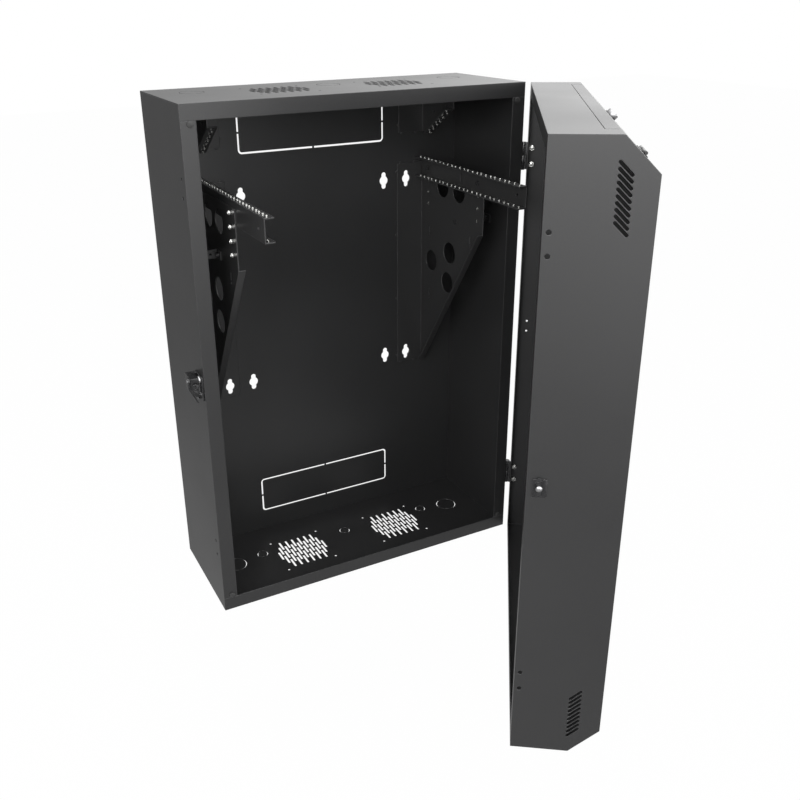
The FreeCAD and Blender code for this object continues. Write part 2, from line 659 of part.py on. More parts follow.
def deck(name, upper):
    """Top or bottom panel: a plate with its lip folded over the front, two fan grilles and knockouts."""

    def level(text):
        return f"(cabinet_height - {text})" if upper else f"({text})"

    body = new_body(name)
    sketch = new_sketch(body, "YZ_Plane")
    front = "-cabinet_depth"
    front_in = "(skin - cabinet_depth)"
    polygon(
        sketch,
        (
            ("0", level("0")),
            (front, level("0")),
            (front, level("front_lip")),
            (front_in, level("front_lip")),
            (front_in, level("skin")),
            ("0", level("skin")),
        ),
    )
    pad(body, sketch, "cabinet_width", symmetric=True)
    sketch = new_sketch(body, "XY_Plane")
    for fan in ("-fan_offset", "fan_offset"):
        for across in ("-", "+"):
            for along in ("-", "+"):
                centre = f"{fan} {across} fan_bolt_pitch / 2"
                circle(sketch, centre, f"-fan_depth {along} fan_bolt_pitch / 2", "fan_bolt_hole")
    pocket(body, sketch)
    for rows, count in ((("0",), 8), (("-1", "1"), 7), (("-2", "2"), 6)):
        sketch = new_sketch(body, "XY_Plane")
        for fan in ("-fan_offset", "fan_offset"):
            for line in rows:
                across = f"{fan} - grille_pitch * {(count - 1) / 2}"
                along = f"-fan_depth + {line} * grille_row"
                ends = [(across, f"{along} {sign} grille_reach") for sign in ("-", "+")]
                slot(sketch, ends[0], ends[1], "grille_slot")
        feature = pocket(body, sketch)
        repeat(body, feature, "X_Axis", f"grille_pitch * {count - 1}", str(count))
    sketch = new_sketch(body, "XY_Plane")
    rings = []
    if upper:
        for across in ("-gland_big_offset", "0", "gland_big_offset"):
            rings.append((across, "-gland_roof_depth", "gland_big"))
    else:
        for across in ("-gland_small_offset", "0", "gland_small_offset"):
            rings.append((across, "-gland_small_depth", "gland_small"))
        for across in ("-gland_big_offset", "gland_big_offset"):
            rings.append((across, "-gland_big_depth", "gland_big"))
    for across, along, radius in rings:
        for right in (True, False):
            half_ring(sketch, across, along, radius, "gland_slit", "gland_bridge", right)
    pocket(body, sketch)
    return finish(body, name)


deck("top_panel", True)
deck("bottom_panel", False)


def side_panel(side):
    """Side panel between top and bottom, its lip cut back behind theirs."""
    body = new_body("side_panel")
    sketch = new_sketch(body, "XY_Plane", "skin")
    outer = f"{side} * side_out"
    inner = f"{side} * side_in"
    lip = f"{side} * (side_out - front_lip)"
    front = "-cabinet_depth"
    front_in = "(skin - cabinet_depth)"
    corners = ((outer, "0"), (outer, front), (lip, front), (lip, front_in), (inner, front_in), (inner, "0"))
    polygon(sketch, corners)
    pad(body, sketch, "cabinet_height - 2 * skin")
    sketch = new_sketch(body, "YZ_Plane")
    box_outline(sketch, "-cabinet_depth - skin", front_in, "0", "front_lip")
    box_outline(sketch, "-cabinet_depth - skin", front_in, "cabinet_height - front_lip", "cabinet_height")
    pocket(body, sketch)
    sketch = new_sketch(body, "YZ_Plane")
    for middle in ("hinge_low", "hinge_high"):
        for sign in ("-", "+"):
            across = "axis_y + hinge_bolt_side"
            circle(sketch, across, f"{middle} {sign} hinge_bolt_pitch / 2", "hinge_hole")
    pocket(body, sketch)
    return body


finish(side_panel("1"), "side_panel_right")
left_panel = side_panel("-1")


# Main bracket: plate on the back panel, web with windows, and a flange along the slope.
slope_run = "(bracket_arm - bracket_toe)"
slope_rise = "(bracket_nose - bracket_low)"
slope_length = f"sqrt({slope_run} ^ 2 + {slope_rise} ^ 2)"
lean_back = f"(bracket_gauge * {slope_rise} / {slope_length})"
lean_up = f"(bracket_gauge * {slope_run} / {slope_length})"
body = new_body("bracket_right")
sketch = new_sketch(body, "XZ_Plane", "skin")
box_outline(sketch, "web_out - bracket_plate", "web_out", "bracket_low", "bracket_top")
pad(body, sketch, "bracket_gauge")
sketch = new_sketch(body, "YZ_Plane", "web_in")
polygon(
    sketch,
    (
        ("-skin", "bracket_top"),
        ("-bracket_arm", "bracket_top"),
        ("-bracket_arm", "bracket_nose"),
        ("-bracket_toe", "bracket_low"),
        ("-skin", "bracket_low"),
    ),
)
pad(body, sketch, "bracket_gauge")
sketch = new_sketch(body, "YZ_Plane", "web_out - slope_flange")
polygon(
    sketch,
    (
        ("-bracket_toe", "bracket_low"),
        ("-bracket_arm", "bracket_nose"),
        (f"-bracket_arm + {lean_back}", f"bracket_nose + {lean_up}"),
        (f"-bracket_toe + {lean_back}", f"bracket_low + {lean_up}"),
    ),
)
pad(body, sketch, "slope_flange")
clovers(body, ("wall_outer",), ("row_low", "row_high"))
sketch = new_sketch(body, "YZ_Plane")
for window in range(1, 6):
    circle(sketch, f"-window_{window}_back", f"bracket_top - window_{window}_drop", "window_radius")
pocket(body, sketch)
sketch = new_sketch(body, "YZ_Plane")
for lance in range(1, 4):
    across = f"-lance_{lance}_back"
    up = f"bracket_top - lance_{lance}_drop"
    slot(sketch, (across, f"{up} - lance_reach"), (across, f"{up} + lance_reach"), "lance_slit")
    circle(sketch, across, f"{up} - lance_{lance}_step", "lance_hole")
circle(sketch, "-brace_depth - brace_tab / 2", "brace_level", "nut_bore")
pocket(body, sketch)
sketch = new_sketch(body, "YZ_Plane")
for depth in ("nut_back", "nut_front"):
    circle(sketch, f"-{depth}", "nut_top", "nut_pilot")
feature = pocket(body, sketch)
repeat(body, feature, "Z_Axis", "3 * nut_step", "4", reverse=True)
spots = []
for end in ("weld_end", "(weld_end + weld_pitch)"):
    spots.append(("plate_edge - weld_out", f"bracket_low + {end}"))
    spots.append(("plate_edge - weld_out", f"bracket_top - {end}"))
for inward in ("weld_side", "(weld_side + weld_side_pitch)"):
    spots.append((f"plate_edge + {inward}", "bracket_top + weld_out"))
    spots.append((f"plate_edge + {inward}", "bracket_low - weld_out"))
welds(body, spots)
bracket_right = finish(body, "bracket_right")

# Clinch nuts pressed into the bracket, flush inside and standing out on the outer face.
body = new_body("clinch_nuts")
for start, radius, length in (
    ("web_in", "nut_pilot", "bracket_gauge"),
    ("web_out", "nut_body", "nut_height"),
):
    sketch = new_sketch(body, "YZ_Plane", start)
    for depth in ("nut_back", "nut_front"):
        circle(sketch, f"-{depth}", "nut_top", radius)
        circle(sketch, f"-{depth}", "nut_top", "nut_bore")
    feature = pad(body, sketch, length)
    repeat(body, feature, "Z_Axis", "3 * nut_step", "4", reverse=True)
finish(together([body, mirrored(body)], "Part::Compound"), "clinch_nuts")

# Rack rail: a channel open to the centre, with rack holes through both flanges.
rail_out = "web_in"
rail_in = "(web_in - bracket_gauge)"
rail_edge = "(web_in - rail_flange)"
rail_low = "(rail_level - rail_height / 2)"
rail_high = "(rail_level + rail_height / 2)"
body = new_body("rail_right")
sketch = new_sketch(body, "XZ_Plane", "rail_back")
polygon(
    sketch,
    (
        (rail_edge, rail_low),
        (rail_out, rail_low),
        (rail_out, rail_high),
        (rail_edge, rail_high),
        (rail_edge, f"{rail_high} - bracket_gauge"),
        (rail_in, f"{rail_high} - bracket_gauge"),
        (rail_in, f"{rail_low} + bracket_gauge"),
        (rail_edge, f"{rail_low} + bracket_gauge"),
    ),
)
pad(body, sketch, "rail_front - rail_back")
sketch = new_sketch(body, "XY_Plane")
for step in range(3):
    circle(sketch, "rack_line", f"-rack_first - {step} * rack_step", "rack_hole")
feature = pocket(body, sketch)
repeat(body, feature, "Y_Axis", "(rack_units - 1) * rack_unit", "rack_units", reverse=True)
sketch = new_sketch(body, "YZ_Plane")
for depth in ("nut_back", "nut_front"):
    circle(sketch, f"-{depth}", "nut_top", "nut_bore + screw_play")
circle(sketch, "-rail_front + rail_hole_edge", "rail_level", "rail_slot")
across = "-rail_front + rail_slot_edge"
slot(sketch, (across, "rail_level - rail_slot_reach"), (across, "rail_level + rail_slot_reach"), "rail_slot")
pocket(body, sketch)
rail_right = finish(body, "rail_right")

# Screws from inside the rail into the upper clinch nuts.
body = new_body("rail_screws")
sketch = new_sketch(body, "YZ_Plane", f"{rail_in} - screw_crown")
for depth in ("nut_back", "nut_front"):
    circle(sketch, f"-{depth}", "nut_top", "screw_head")
pad(body, sketch, "screw_crown")
sketch = new_sketch(body, "YZ_Plane", rail_in)
for depth in ("nut_back", "nut_front"):
    circle(sketch, f"-{depth}", "nut_top", "nut_bore - screw_play")
pad(body, sketch, "2 * bracket_gauge + nut_height - screw_short")
sketch = new_sketch(body, "YZ_Plane", f"{rail_in} - screw_crown")
for depth in ("nut_back", "nut_front"):
    slot(sketch, (f"-{depth} - drive_reach", "nut_top"), (f"-{depth} + drive_reach", "nut_top"), "drive_slot")
pocket(body, sketch, "2 * drive_depth")
finish(together([body, mirrored(body)], "Part::Compound"), "rail_screws")

# Upper bracket: small gusset with rack holes in its sloped flange.
slope_end = "(upper_toe + upper_run * cos(upper_angle))"
slope_top = "(upper_low + upper_run * sin(upper_angle))"
body = new_body("upper_bracket_right")
sketch = new_sketch(body, "XZ_Plane", "skin")
box_outline(sketch, "upper_edge", "web_out", "upper_low", "upper_high")
pad(body, sketch, "bracket_gauge")
sketch = new_sketch(body, "YZ_Plane", "web_in")
polygon(
    sketch,
    (
        ("-skin", "upper_low"),
        ("-upper_toe", "upper_low"),
        (f"-{slope_end}", slope_top),
        (f"-{slope_end}", "upper_high"),
        ("-skin", "upper_high"),
    ),
)
pad(body, sketch, "bracket_gauge")
sketch = new_sketch(body, "YZ_Plane", rail_edge)
slope_back = "bracket_gauge * sin(upper_angle)"
slope_up = "bracket_gauge * cos(upper_angle)"
polygon(
    sketch,
    (
        ("-upper_toe", "upper_low"),
        (f"-{slope_end}", slope_top),
        (f"-{slope_end} + {slope_back}", f"{slope_top} + {slope_up}"),
        (f"-upper_toe + {slope_back}", f"upper_low + {slope_up}"),
    ),
)
pad(body, sketch, "rail_flange")
slope_place = "placement(vector(0; -upper_toe; upper_low); rotation(vector(1; 0; 0); -upper_angle))"
sketch = new_sketch(body, "XY_Plane", place=slope_place)
for unit in range(2):
    for step in range(3):
        along = f"-upper_first - {unit} * rack_unit - {step} * rack_step"
        circle(sketch, "rack_line", along, "rack_hole")
pocket(body, sketch, "4 * bracket_gauge")
sketch = new_sketch(body, "YZ_Plane")
for hole in range(1, 4):
    circle(sketch, f"-upper_hole_{hole}_back", f"upper_high - upper_hole_{hole}_drop", "rack_hole")
pocket(body, sketch)
spots = [
    ("upper_edge - weld_out", "upper_low + weld_end"),
    ("upper_edge + weld_side", "upper_high + weld_out"),
]
for inward in ("weld_side", "(weld_side + weld_side_pitch)"):
    spots.append((f"upper_edge + {inward}", "upper_low - weld_out"))
welds(body, spots)
upper_right = finish(body, "upper_bracket_right")

# Brace from the bracket to the side panel, a flat strap with a tab folded forward at each end.
body = new_body("side_brace_right")
sketch = new_sketch(body, "XY_Plane", "brace_level - brace_height / 2")
strap_back = "(-brace_depth + bracket_gauge / 2)"
strap_front = "(-brace_depth - bracket_gauge / 2)"
tab_end = "(-brace_depth + bracket_gauge / 2 - brace_tab)"
polygon(
    sketch,
    (
        ("web_out", strap_back),
        ("side_in", strap_back),
        ("side_in", tab_end),
        ("side_in - bracket_gauge", tab_end),
        ("side_in - bracket_gauge", strap_front),
        ("web_out + bracket_gauge", strap_front),
        ("web_out + bracket_gauge", tab_end),
        ("web_out", tab_end),
    ),
)
pad(body, sketch, "brace_height")
sketch = new_sketch(body, "YZ_Plane")
circle(sketch, "-brace_depth - brace_tab / 2", "brace_level", "nut_bore")
pocket(body, sketch)
sketch = new_sketch(body, "XZ_Plane")
circle(sketch, "web_out + brace_hole_side", "brace_level", "brace_hole")
pocket(body, sketch)
brace_right = finish(body, "side_brace_right")

# Bolt and nut that hold the brace to the bracket.
bolt_y = "(-brace_depth - brace_tab / 2)"
body = new_body("brace_bolts")
for start, radius, length in (
    ("web_in - screw_crown", "screw_head", "screw_crown"),
    ("web_in", "nut_bore - screw_play", "2 * bracket_gauge"),
    ("web_out + bracket_gauge", "screw_head", "nut_height"),
):
    sketch = new_sketch(body, "YZ_Plane", start)
    circle(sketch, bolt_y, "brace_level", radius)
    pad(body, sketch, length)
finish(together([body, mirrored(body)], "Part::Compound"), "brace_bolts")

for source, name in (
    (bracket_right, "bracket_left"),
    (rail_right, "rail_left"),
    (upper_right, "upper_bracket_left"),
    (brace_right, "side_brace_left"),
):
    item = mirrored(source)
    item.Label = name
    subparts.append(item)

# Bumpers on the front lip that the door closes against.
body = new_body("bumpers")
sketch = new_sketch(body, "XZ_Plane", "cabinet_depth")
for across in ("-side_out + bumper_inset", "side_out - bumper_inset"):
    for up in ("bumper_end", "cabinet_height - bumper_end"):
        circle(sketch, across, up, "bumper_radius")
pad(body, sketch, "bumper_height")
finish(body, "bumpers")


def leaf(name, middle, on_door):
    """Hinge leaf with half of the knuckle: lower half on the body, upper half on the door."""
    forward = "-1" if on_door else "1"
    face = "(side_out + door_over)" if on_door else "side_out"
    outer = f"({face} + hinge_gauge)"
    far = f"(axis_y + {forward} * (hinge_bolt_side + bolt_head + hinge_margin))"
    near = f"(axis_y + {forward} * (hinge_knuckle - knuckle_lap))"
    half = "(hinge_length / 2)"
    start = f"{middle} - {half}"
    body = new_body(name)
    sketch = new_sketch(body, "XY_Plane", start)
    polygon(sketch, ((face, far), (outer, far), (outer, near), (face, near)))
    pad(body, sketch, "hinge_length")
    knuckle_start = f"{middle} + hinge_play" if on_door else start
    length = f"{half} - hinge_play"
    sketch = new_sketch(body, "XY_Plane", knuckle_start)
    circle(sketch, "axis_x", "axis_y", "hinge_knuckle")
    pad(body, sketch, length)
    sketch = new_sketch(body, "XY_Plane", knuckle_start)
    neck = f"(axis_y + {forward} * (hinge_knuckle - neck_lap))"
    neck_end = f"({neck} + {forward} * neck_rise)"
    corners = ((face, near), ("axis_x", "axis_y"), ("axis_x", neck), (outer, neck_end), (face, neck_end))
    polygon(sketch, corners)
    pad(body, sketch, length)
    sketch = new_sketch(body, "XY_Plane")
    circle(sketch, "axis_x", "axis_y", "hinge_pin + hinge_play")
    pocket(body, sketch)
    sketch = new_sketch(body, "YZ_Plane")
    for sign in ("-", "+"):
        across = f"axis_y + {forward} * hinge_bolt_side"
        circle(sketch, across, f"{middle} {sign} hinge_bolt_pitch / 2", "hinge_hole")
    pocket(body, sketch)
    return finish(body, name, DOOR_PLACE if on_door else BODY_PLACE)


for label, middle in (("upper", "hinge_high"), ("lower", "hinge_low")):
    leaf(f"hinge_{label}_body_leaf", middle, False)
    leaf(f"hinge_{label}_door_leaf", middle, True)

pins = []
for middle in ("hinge_low", "hinge_high"):
    foot = ("axis_x", "axis_y", f"{middle} - hinge_length / 2 - pin_cap")
    shank = cylinder("hinge_pin", "hinge_length + pin_cap", foot)
    cap = cylinder("hinge_knuckle - pin_cap_in", "pin_cap", foot)
    pins.append(together([shank, cap]))
finish(together(pins, "Part::Compound"), "hinge_pins")


def hinge_fasteners(prefix, wall, forward, place):
    """Bolts through a leaf and its wall, and their nuts inside."""
    across = f"(axis_y + {forward} * hinge_bolt_side)"
    bolts = []
    nuts = []
    for middle in ("hinge_low", "hinge_high"):
        for sign in ("-", "+"):
            up = f"({middle} {sign} hinge_bolt_pitch / 2)"
            turn = ("vector(0; 1; 0)", "90")
            inside = f"({wall} - skin - bolt_nut_height)"
            head = cylinder("bolt_head", "bolt_crown", (f"{wall} + hinge_gauge", across, up), *turn)
            length = "skin + hinge_gauge + bolt_nut_height + bolt_spare"
            shank = cylinder("hinge_bolt", length, (f"{inside} - bolt_spare", across, up), *turn)
            bolts.append(together([head, shank]))
            nut = document.addObject("Part::Prism", "nut")
            nut.Polygon = 6
            bind(nut, "Circumradius", "bolt_nut / cos(30)")
            bind(nut, "Height", "bolt_nut_height")
            nut_place = f"vector({inside}; {across}; {up}); rotation({turn[0]}; {turn[1]})"
            bind(nut, "Placement", f"placement({nut_place})")
            bore = cylinder("hinge_bolt + screw_play", "bolt_nut_height", (inside, across, up), *turn)
            nuts.append(without(nut, [bore]))
    finish(together(bolts, "Part::Compound"), f"{prefix}_bolts", place)
    finish(together(nuts, "Part::Compound"), f"{prefix}_nuts", place)


hinge_fasteners("body_hinge", "side_out", "1", BODY_PLACE)
hinge_fasteners("door_hinge", "door_side", "-1", DOOR_PLACE)

# Door: a deep folded tray with bevelled ends, a rim folded in round its mouth, and the hatch opening.
bend_in = "(skin * tan(22.5))"
body = new_body("door_shell")
sketch = new_sketch(body, "YZ_Plane")
polygon(
    sketch,
    (
        ("-rim_back", "door_drop"),
        ("-rim_back", "door_top"),
        ("-bend", "door_top"),
        ("-door_front", "door_top - door_bevel"),
        ("-door_front", "door_drop + door_bevel"),
        ("-bend", "door_drop"),
    ),
)
pad(body, sketch, "2 * door_side", symmetric=True)
sketch = new_sketch(body, "YZ_Plane")
polygon(
    sketch,
    (
        ("-rim_back - skin", "door_drop + skin"),
        ("-rim_back - skin", "door_top - skin"),
        (f"-bend + {bend_in}", "door_top - skin"),
        ("-door_front + skin", f"door_top - door_bevel - {bend_in}"),
        ("-door_front + skin", f"door_drop + door_bevel + {bend_in}"),
        (f"-bend + {bend_in}", "door_drop + skin"),
    ),
)
pocket(body, sketch, "2 * (door_side - skin)")
sketch = new_sketch(body, "XZ_Plane", "rim_back")
mouth = "(door_side - door_rim)"
box_outline(sketch, f"-{mouth}", mouth, "door_drop + door_rim", "door_top - door_rim")
pocket(body, sketch, "skin", reverse=True)
sketch = new_sketch(body, "YZ_Plane")
hatch_edge = "(rim_back + hatch_back - hatch_gap)"
slant = "((hatch_drop + hatch_gap) * cos(45))"
polygon(
    sketch,
    (
        (f"-{hatch_edge}", "door_top + hatch_reach"),
        (f"-{hatch_edge}", "door_top - hatch_reach"),
        (f"-bend - {slant} + hatch_reach", f"door_top - {slant} - hatch_reach"),
        (f"-bend - {slant} - hatch_reach", f"door_top - {slant} + hatch_reach"),
        ("-bend - hatch_reach", "door_top + hatch_reach"),
    ),
)
pocket(body, sketch, "hatch_width + 2 * hatch_gap")
vent_run = "(vent_count - 1) * vent_pitch"
for highest, lean in (("door_top - vent_edge", "-"), (f"door_drop + vent_edge + {vent_run}", "+")):
    sketch = new_sketch(body, "YZ_Plane")
    near_end = ("-rim_back - vent_near", highest)
    far_end = ("-rim_back - vent_far", f"{highest} {lean} (vent_far - vent_near)")
    slot(sketch, near_end, far_end, "vent_slot")
    feature = pocket(body, sketch)
    repeat(body, feature, "Z_Axis", vent_run, "vent_count", reverse=True)
sketch = new_sketch(body, "YZ_Plane")
for middle in ("hinge_low", "hinge_high"):
    for sign in ("-", "+"):
        circle(sketch, "axis_y - hinge_bolt_side", f"{middle} {sign} hinge_bolt_pitch / 2", "hinge_hole")
for sign in ("-", "+"):
    up = f"stud_level {sign} strike_screw_step"
    circle(sketch, "-rim_back - stud_near", up, "latch_screw + screw_play")
pocket(body, sketch)
finish(body, "door_shell", DOOR_PLACE)

# Strike on the latch side of the door: plate, stud and two screws.
strike_y = "(-rim_back - strike_near - strike_length)"
plate = block(
    ("strike_gauge", "strike_length", "strike_height"),
    ("-door_side - strike_gauge", strike_y, "strike_low"),
)
stud_y = "(-rim_back - stud_near)"
turn = ("vector(0; 1; 0)", "-90")
screw_levels = [f"(stud_level {sign} strike_screw_step)" for sign in ("-", "+")]
screw_foot = "-door_side + skin"
screw_holes = [
    cylinder("latch_screw + screw_play", "2 * skin + strike_gauge", (screw_foot, stud_y, up), *turn)
    for up in screw_levels
]
finish(without(plate, screw_holes), "strike_plate", DOOR_PLACE)
stud_foot = "-door_side - strike_gauge"
shank = cylinder("stud_radius", "stud_length", (stud_foot, stud_y, "stud_level"), *turn)
rim = cylinder("stud_head", "stud_crown / 2", (f"{stud_foot} - stud_length", stud_y, "stud_level"), *turn)
dome = document.addObject("Part::Cone", "dome")
bind(dome, "Radius1", "stud_head")
bind(dome, "Radius2", "stud_head / 2")
bind(dome, "Height", "stud_crown / 2")
dome_start = f"{stud_foot} - stud_length - stud_crown / 2"
dome_place = f"vector({dome_start}; {stud_y}; stud_level); rotation({turn[0]}; {turn[1]})"
bind(dome, "Placement", f"placement({dome_place})")
finish(together([shank, rim, dome]), "strike_stud", DOOR_PLACE)
screws = []
screw_length = "strike_gauge + skin + screw_tail"
for up in screw_levels:
    head = cylinder("latch_screw_head", "strike_screw_crown", (stud_foot, stud_y, up), *turn)
    shank = cylinder("latch_screw", screw_length, (f"{stud_foot} + {screw_length}", stud_y, up), *turn)
    screws.append(together([head, shank]))
finish(together(screws, "Part::Compound"), "strike_screws", DOOR_PLACE)

# Hatch: bent plate over the door's upper bend, hinged at its lower edge, with a cam lock.
body = new_body("hatch_panel")
sketch = new_sketch(body, "YZ_Plane")
rear = "(-rim_back - hatch_back)"
slant = "(hatch_drop * cos(45))"
inward = "(skin * cos(45))"
polygon(
    sketch,
    (
        (rear, "door_top"),
        ("-bend", "door_top"),
        (f"-bend - {slant}", f"door_top - {slant}"),
        (f"-bend - {slant} + {inward}", f"door_top - {slant} - {inward}"),
        (f"-bend + {bend_in}", "door_top - skin"),
        (rear, "door_top - skin"),
    ),
)
pad(body, sketch, "hatch_width", symmetric=True)
sketch = new_sketch(body, "XY_Plane", place=BEVEL_PLACE)
circle(sketch, "0", "-key_down", "key_barrel + screw_play")
pocket(body, sketch, "4 * skin")
finish(body, "hatch_panel", DOOR_PLACE)

hatch_axis = "(-hatch_drop - hatch_gap / 2)"
hatch_rise = "(hatch_knuckle + hatch_lift)"
neck_width = "(hatch_knuckle + 2 * hatch_play)"
along_x = ("vector(0; 1; 0)", "90")
for name, forward, shift in (("hatch_door_leaves", "-1", "-1"), ("hatch_leaves", "1", "0")):
    leaves = []
    for offset in ("-hatch_hinge_offset", "hatch_hinge_offset"):
        left = f"({offset} - hatch_hinge_length / 2)"
        knuckle_left = f"({offset} + {shift} * hatch_hinge_length / 2 + hinge_play)"
        knuckle_length = "(hatch_hinge_length / 2 - 2 * hinge_play)"
        free = "(hatch_leaf_width - hatch_knuckle - hatch_play)"
        if forward == "1":
            low = f"({hatch_axis} + hatch_knuckle + hatch_play)"
            neck_low = hatch_axis
        else:
            low = f"({hatch_axis} - hatch_leaf_width)"
            neck_low = f"({hatch_axis} - {neck_width})"
        flat = block(("hatch_hinge_length", free, "hatch_leaf"), (left, low, "0"))
        neck = block((knuckle_length, neck_width, "hatch_leaf"), (knuckle_left, neck_low, "hatch_lift"))
        knuckle = cylinder("hatch_knuckle", knuckle_length, (knuckle_left, hatch_axis, hatch_rise), *along_x)
        bore_start = (left, hatch_axis, hatch_rise)
        bore = cylinder("hatch_pin + hinge_play", "hatch_hinge_length", bore_start, *along_x)
        leaves.append(without(together([flat, neck, knuckle]), [bore]))
    finish(on_bevel(leaves), name, DOOR_PLACE)
pins = []
for offset in ("-hatch_hinge_offset", "hatch_hinge_offset"):
    pin_left = f"({offset} - hatch_hinge_length / 2)"
    pins.append(cylinder("hatch_pin", "hatch_hinge_length", (pin_left, hatch_axis, hatch_rise), *along_x))
finish(on_bevel(pins), "hatch_pins", DOOR_PLACE)

key_centre = ("0", "-key_down")
collar = cylinder("key_collar", "key_rise", (*key_centre, "0"))
barrel = cylinder("key_barrel", "key_depth", (*key_centre, "-key_depth"))
bore = cylinder("key_plug + hinge_play", "key_depth + key_rise", (*key_centre, "-key_depth"))
lock = without(together([collar, barrel]), [bore])
finish(on_bevel([lock]), "hatch_lock", DOOR_PLACE)
plug_length = "key_depth + key_rise + plug_tail + plug_proud"
plug = cylinder("key_plug", plug_length, (*key_centre, "-key_depth - plug_tail"))
groove = block(
    ("key_slot", "key_slot_length", "2 * key_slot_depth"),
    ("-key_slot / 2", "-key_down - key_slot_length / 2", "key_rise + plug_proud - key_slot_depth"),
)
finish(on_bevel([without(plug, [groove])]), "hatch_key_plug", DOOR_PLACE)
cam = block(
    ("cam_length + cam_width / 2", "cam_width", "cam_gauge"),
    ("-cam_width / 2", "-key_down - cam_width / 2", "-key_depth - plug_tail - cam_gauge"),
)
finish(on_bevel([cam]), "hatch_cam", DOOR_PLACE)

# Latch on the left wall: base plate with housing, a shaft that carries hook and lever, and a lock.
left_face = "-side_out"
plate_face = "(-side_out - latch_plate)"
hook_in = f"({plate_face} - latch_gap)"
body_in = f"({plate_face} - latch_hook_gauge - 2 * latch_gap)"
body_out = f"({body_in} - latch_body)"
lever_in = f"({body_out} - latch_gap / 2)"
lever_out = f"({lever_in} - lever_gauge)"
body_front = "(latch_y - latch_body_front)"
body_low = "(latch_level - latch_body_low)"
body_height = "latch_body_low + latch_body_high"
lock_axis = (f"({body_in} - latch_body / 2)", body_front, "(latch_level - lock_drop)")
plate = block(
    (
        "latch_plate",
        "latch_body_front + latch_plate_front + latch_body_back",
        "latch_plate_low + latch_plate_high",
    ),
    (plate_face, f"{body_front} - latch_plate_front", "latch_level - latch_plate_low"),
)
housing = block(
    ("latch_body", "latch_body_front + latch_body_back", body_height),
    (body_out, body_front, body_low),
)
wedge = new_body("latch_wedge")
sketch = new_sketch(wedge, "XZ_Plane")
housing_lean = "(latch_slant * (latch_body_low - latch_taper))"
polygon(
    sketch,
    (
        (body_out, "latch_level - latch_taper"),
        (f"{body_out} + {housing_lean}", body_low),
        (body_out, body_low),
    ),
)
pad(wedge, sketch, "2 * cabinet_depth", symmetric=True)
spacer_front = "(latch_y + latch_body_back - latch_spacer)"
spacer = block(
    ("latch_hook_gauge + 2 * latch_gap", "latch_spacer", body_height),
    (body_in, spacer_front, body_low),
)
bore_start = (f"{body_in} + latch_gap / 2", "latch_y", "latch_level")
shaft_bore = cylinder("latch_shaft + latch_play", "latch_body + latch_gap", bore_start, *turn)
lock_bore = cylinder(
    "lock_radius + latch_play",
    "lock_length + end_play",
    (lock_axis[0], f"{body_front} + lock_length - lock_proud + end_play", lock_axis[2]),
    "vector(1; 0; 0)",
    "90",
)
screw_level = "(latch_level - latch_plate_low + latch_screw_low)"
screw_spots = (
    (f"({body_front} + latch_screw_front)", screw_level),
    ("(latch_y + latch_body_back - latch_screw_back)", screw_level),
)
sinks = []
screws = []
sketch = new_sketch(left_panel, "YZ_Plane")
for along, up in screw_spots:
    circle(sketch, along, up, "latch_screw + screw_play")
    sinks.append(cylinder("latch_screw + screw_play", "latch_plate", (left_face, along, up), *turn))
    head_foot = (f"{plate_face} + latch_screw_sink", along, up)
    sinks.append(cylinder("latch_screw_head + screw_play", "latch_screw_sink", head_foot, *turn))
    head = cylinder("latch_screw_head", "latch_screw_sink", head_foot, *turn)
    screw_end = (f"{left_face} + skin + screw_tail", along, up)
    shank = cylinder("latch_screw", "latch_plate + skin + screw_tail", screw_end, *turn)
    screws.append(together([head, shank]))
pocket(left_panel, sketch)
finish(left_panel, "side_panel_left")
base = together([plate, housing, spacer])
finish(without(base, [wedge, shaft_bore, lock_bore, *sinks]), "latch_base")
finish(together(screws, "Part::Compound"), "latch_screws")

shaft_start = f"({plate_face} - end_play)"
shaft_length = f"({shaft_start} - {lever_out} + shaft_proud)"
shaft = cylinder("latch_shaft", shaft_length, (shaft_start, "latch_y", "latch_level"), *turn)
finish(together([shaft], "Part::Compound"), "latch_shaft")

body = new_body("latch_lever")
tip = "(lever_length - lever_tip)"
sketch = new_sketch(body, "YZ_Plane", lever_out)
polygon(
    sketch,
    (
        ("latch_y - lever_top", "latch_level"),
        ("latch_y + lever_top", "latch_level"),
        ("latch_y + lever_tip", f"latch_level - {tip}"),
        ("latch_y - lever_tip", f"latch_level - {tip}"),
    ),
)
lever_depth = "lever_gauge + latch_gap / 2 + latch_body"
pad(body, sketch, lever_depth)
for up, radius in (("latch_level", "lever_top"), (f"latch_level - {tip}", "lever_tip")):
    sketch = new_sketch(body, "YZ_Plane", lever_out)
    circle(sketch, "latch_y", up, radius)
    pad(body, sketch, lever_depth)
tip_level = "(latch_level - lever_length)"
tip_in = f"({lever_in} + latch_slant * (lever_length - lever_taper))"
sketch = new_sketch(body, "XZ_Plane")
polygon(
    sketch,
    (
        (lever_in, "latch_level + lever_top"),
        (lever_in, "latch_level - lever_taper"),
        (tip_in, tip_level),
        (body_in, tip_level),
        (body_in, "latch_level + lever_top"),
    ),
)
polygon(
    sketch,
    (
        (lever_out, "latch_level - latch_taper"),
        (f"{tip_in} - lever_thin", tip_level),
        (lever_out, tip_level),
    ),
)
pocket(body, sketch)
sketch = new_sketch(body, "YZ_Plane")
circle(sketch, "latch_y", "latch_level", "latch_shaft + latch_play")
pocket(body, sketch)
finish(body, "latch_lever")

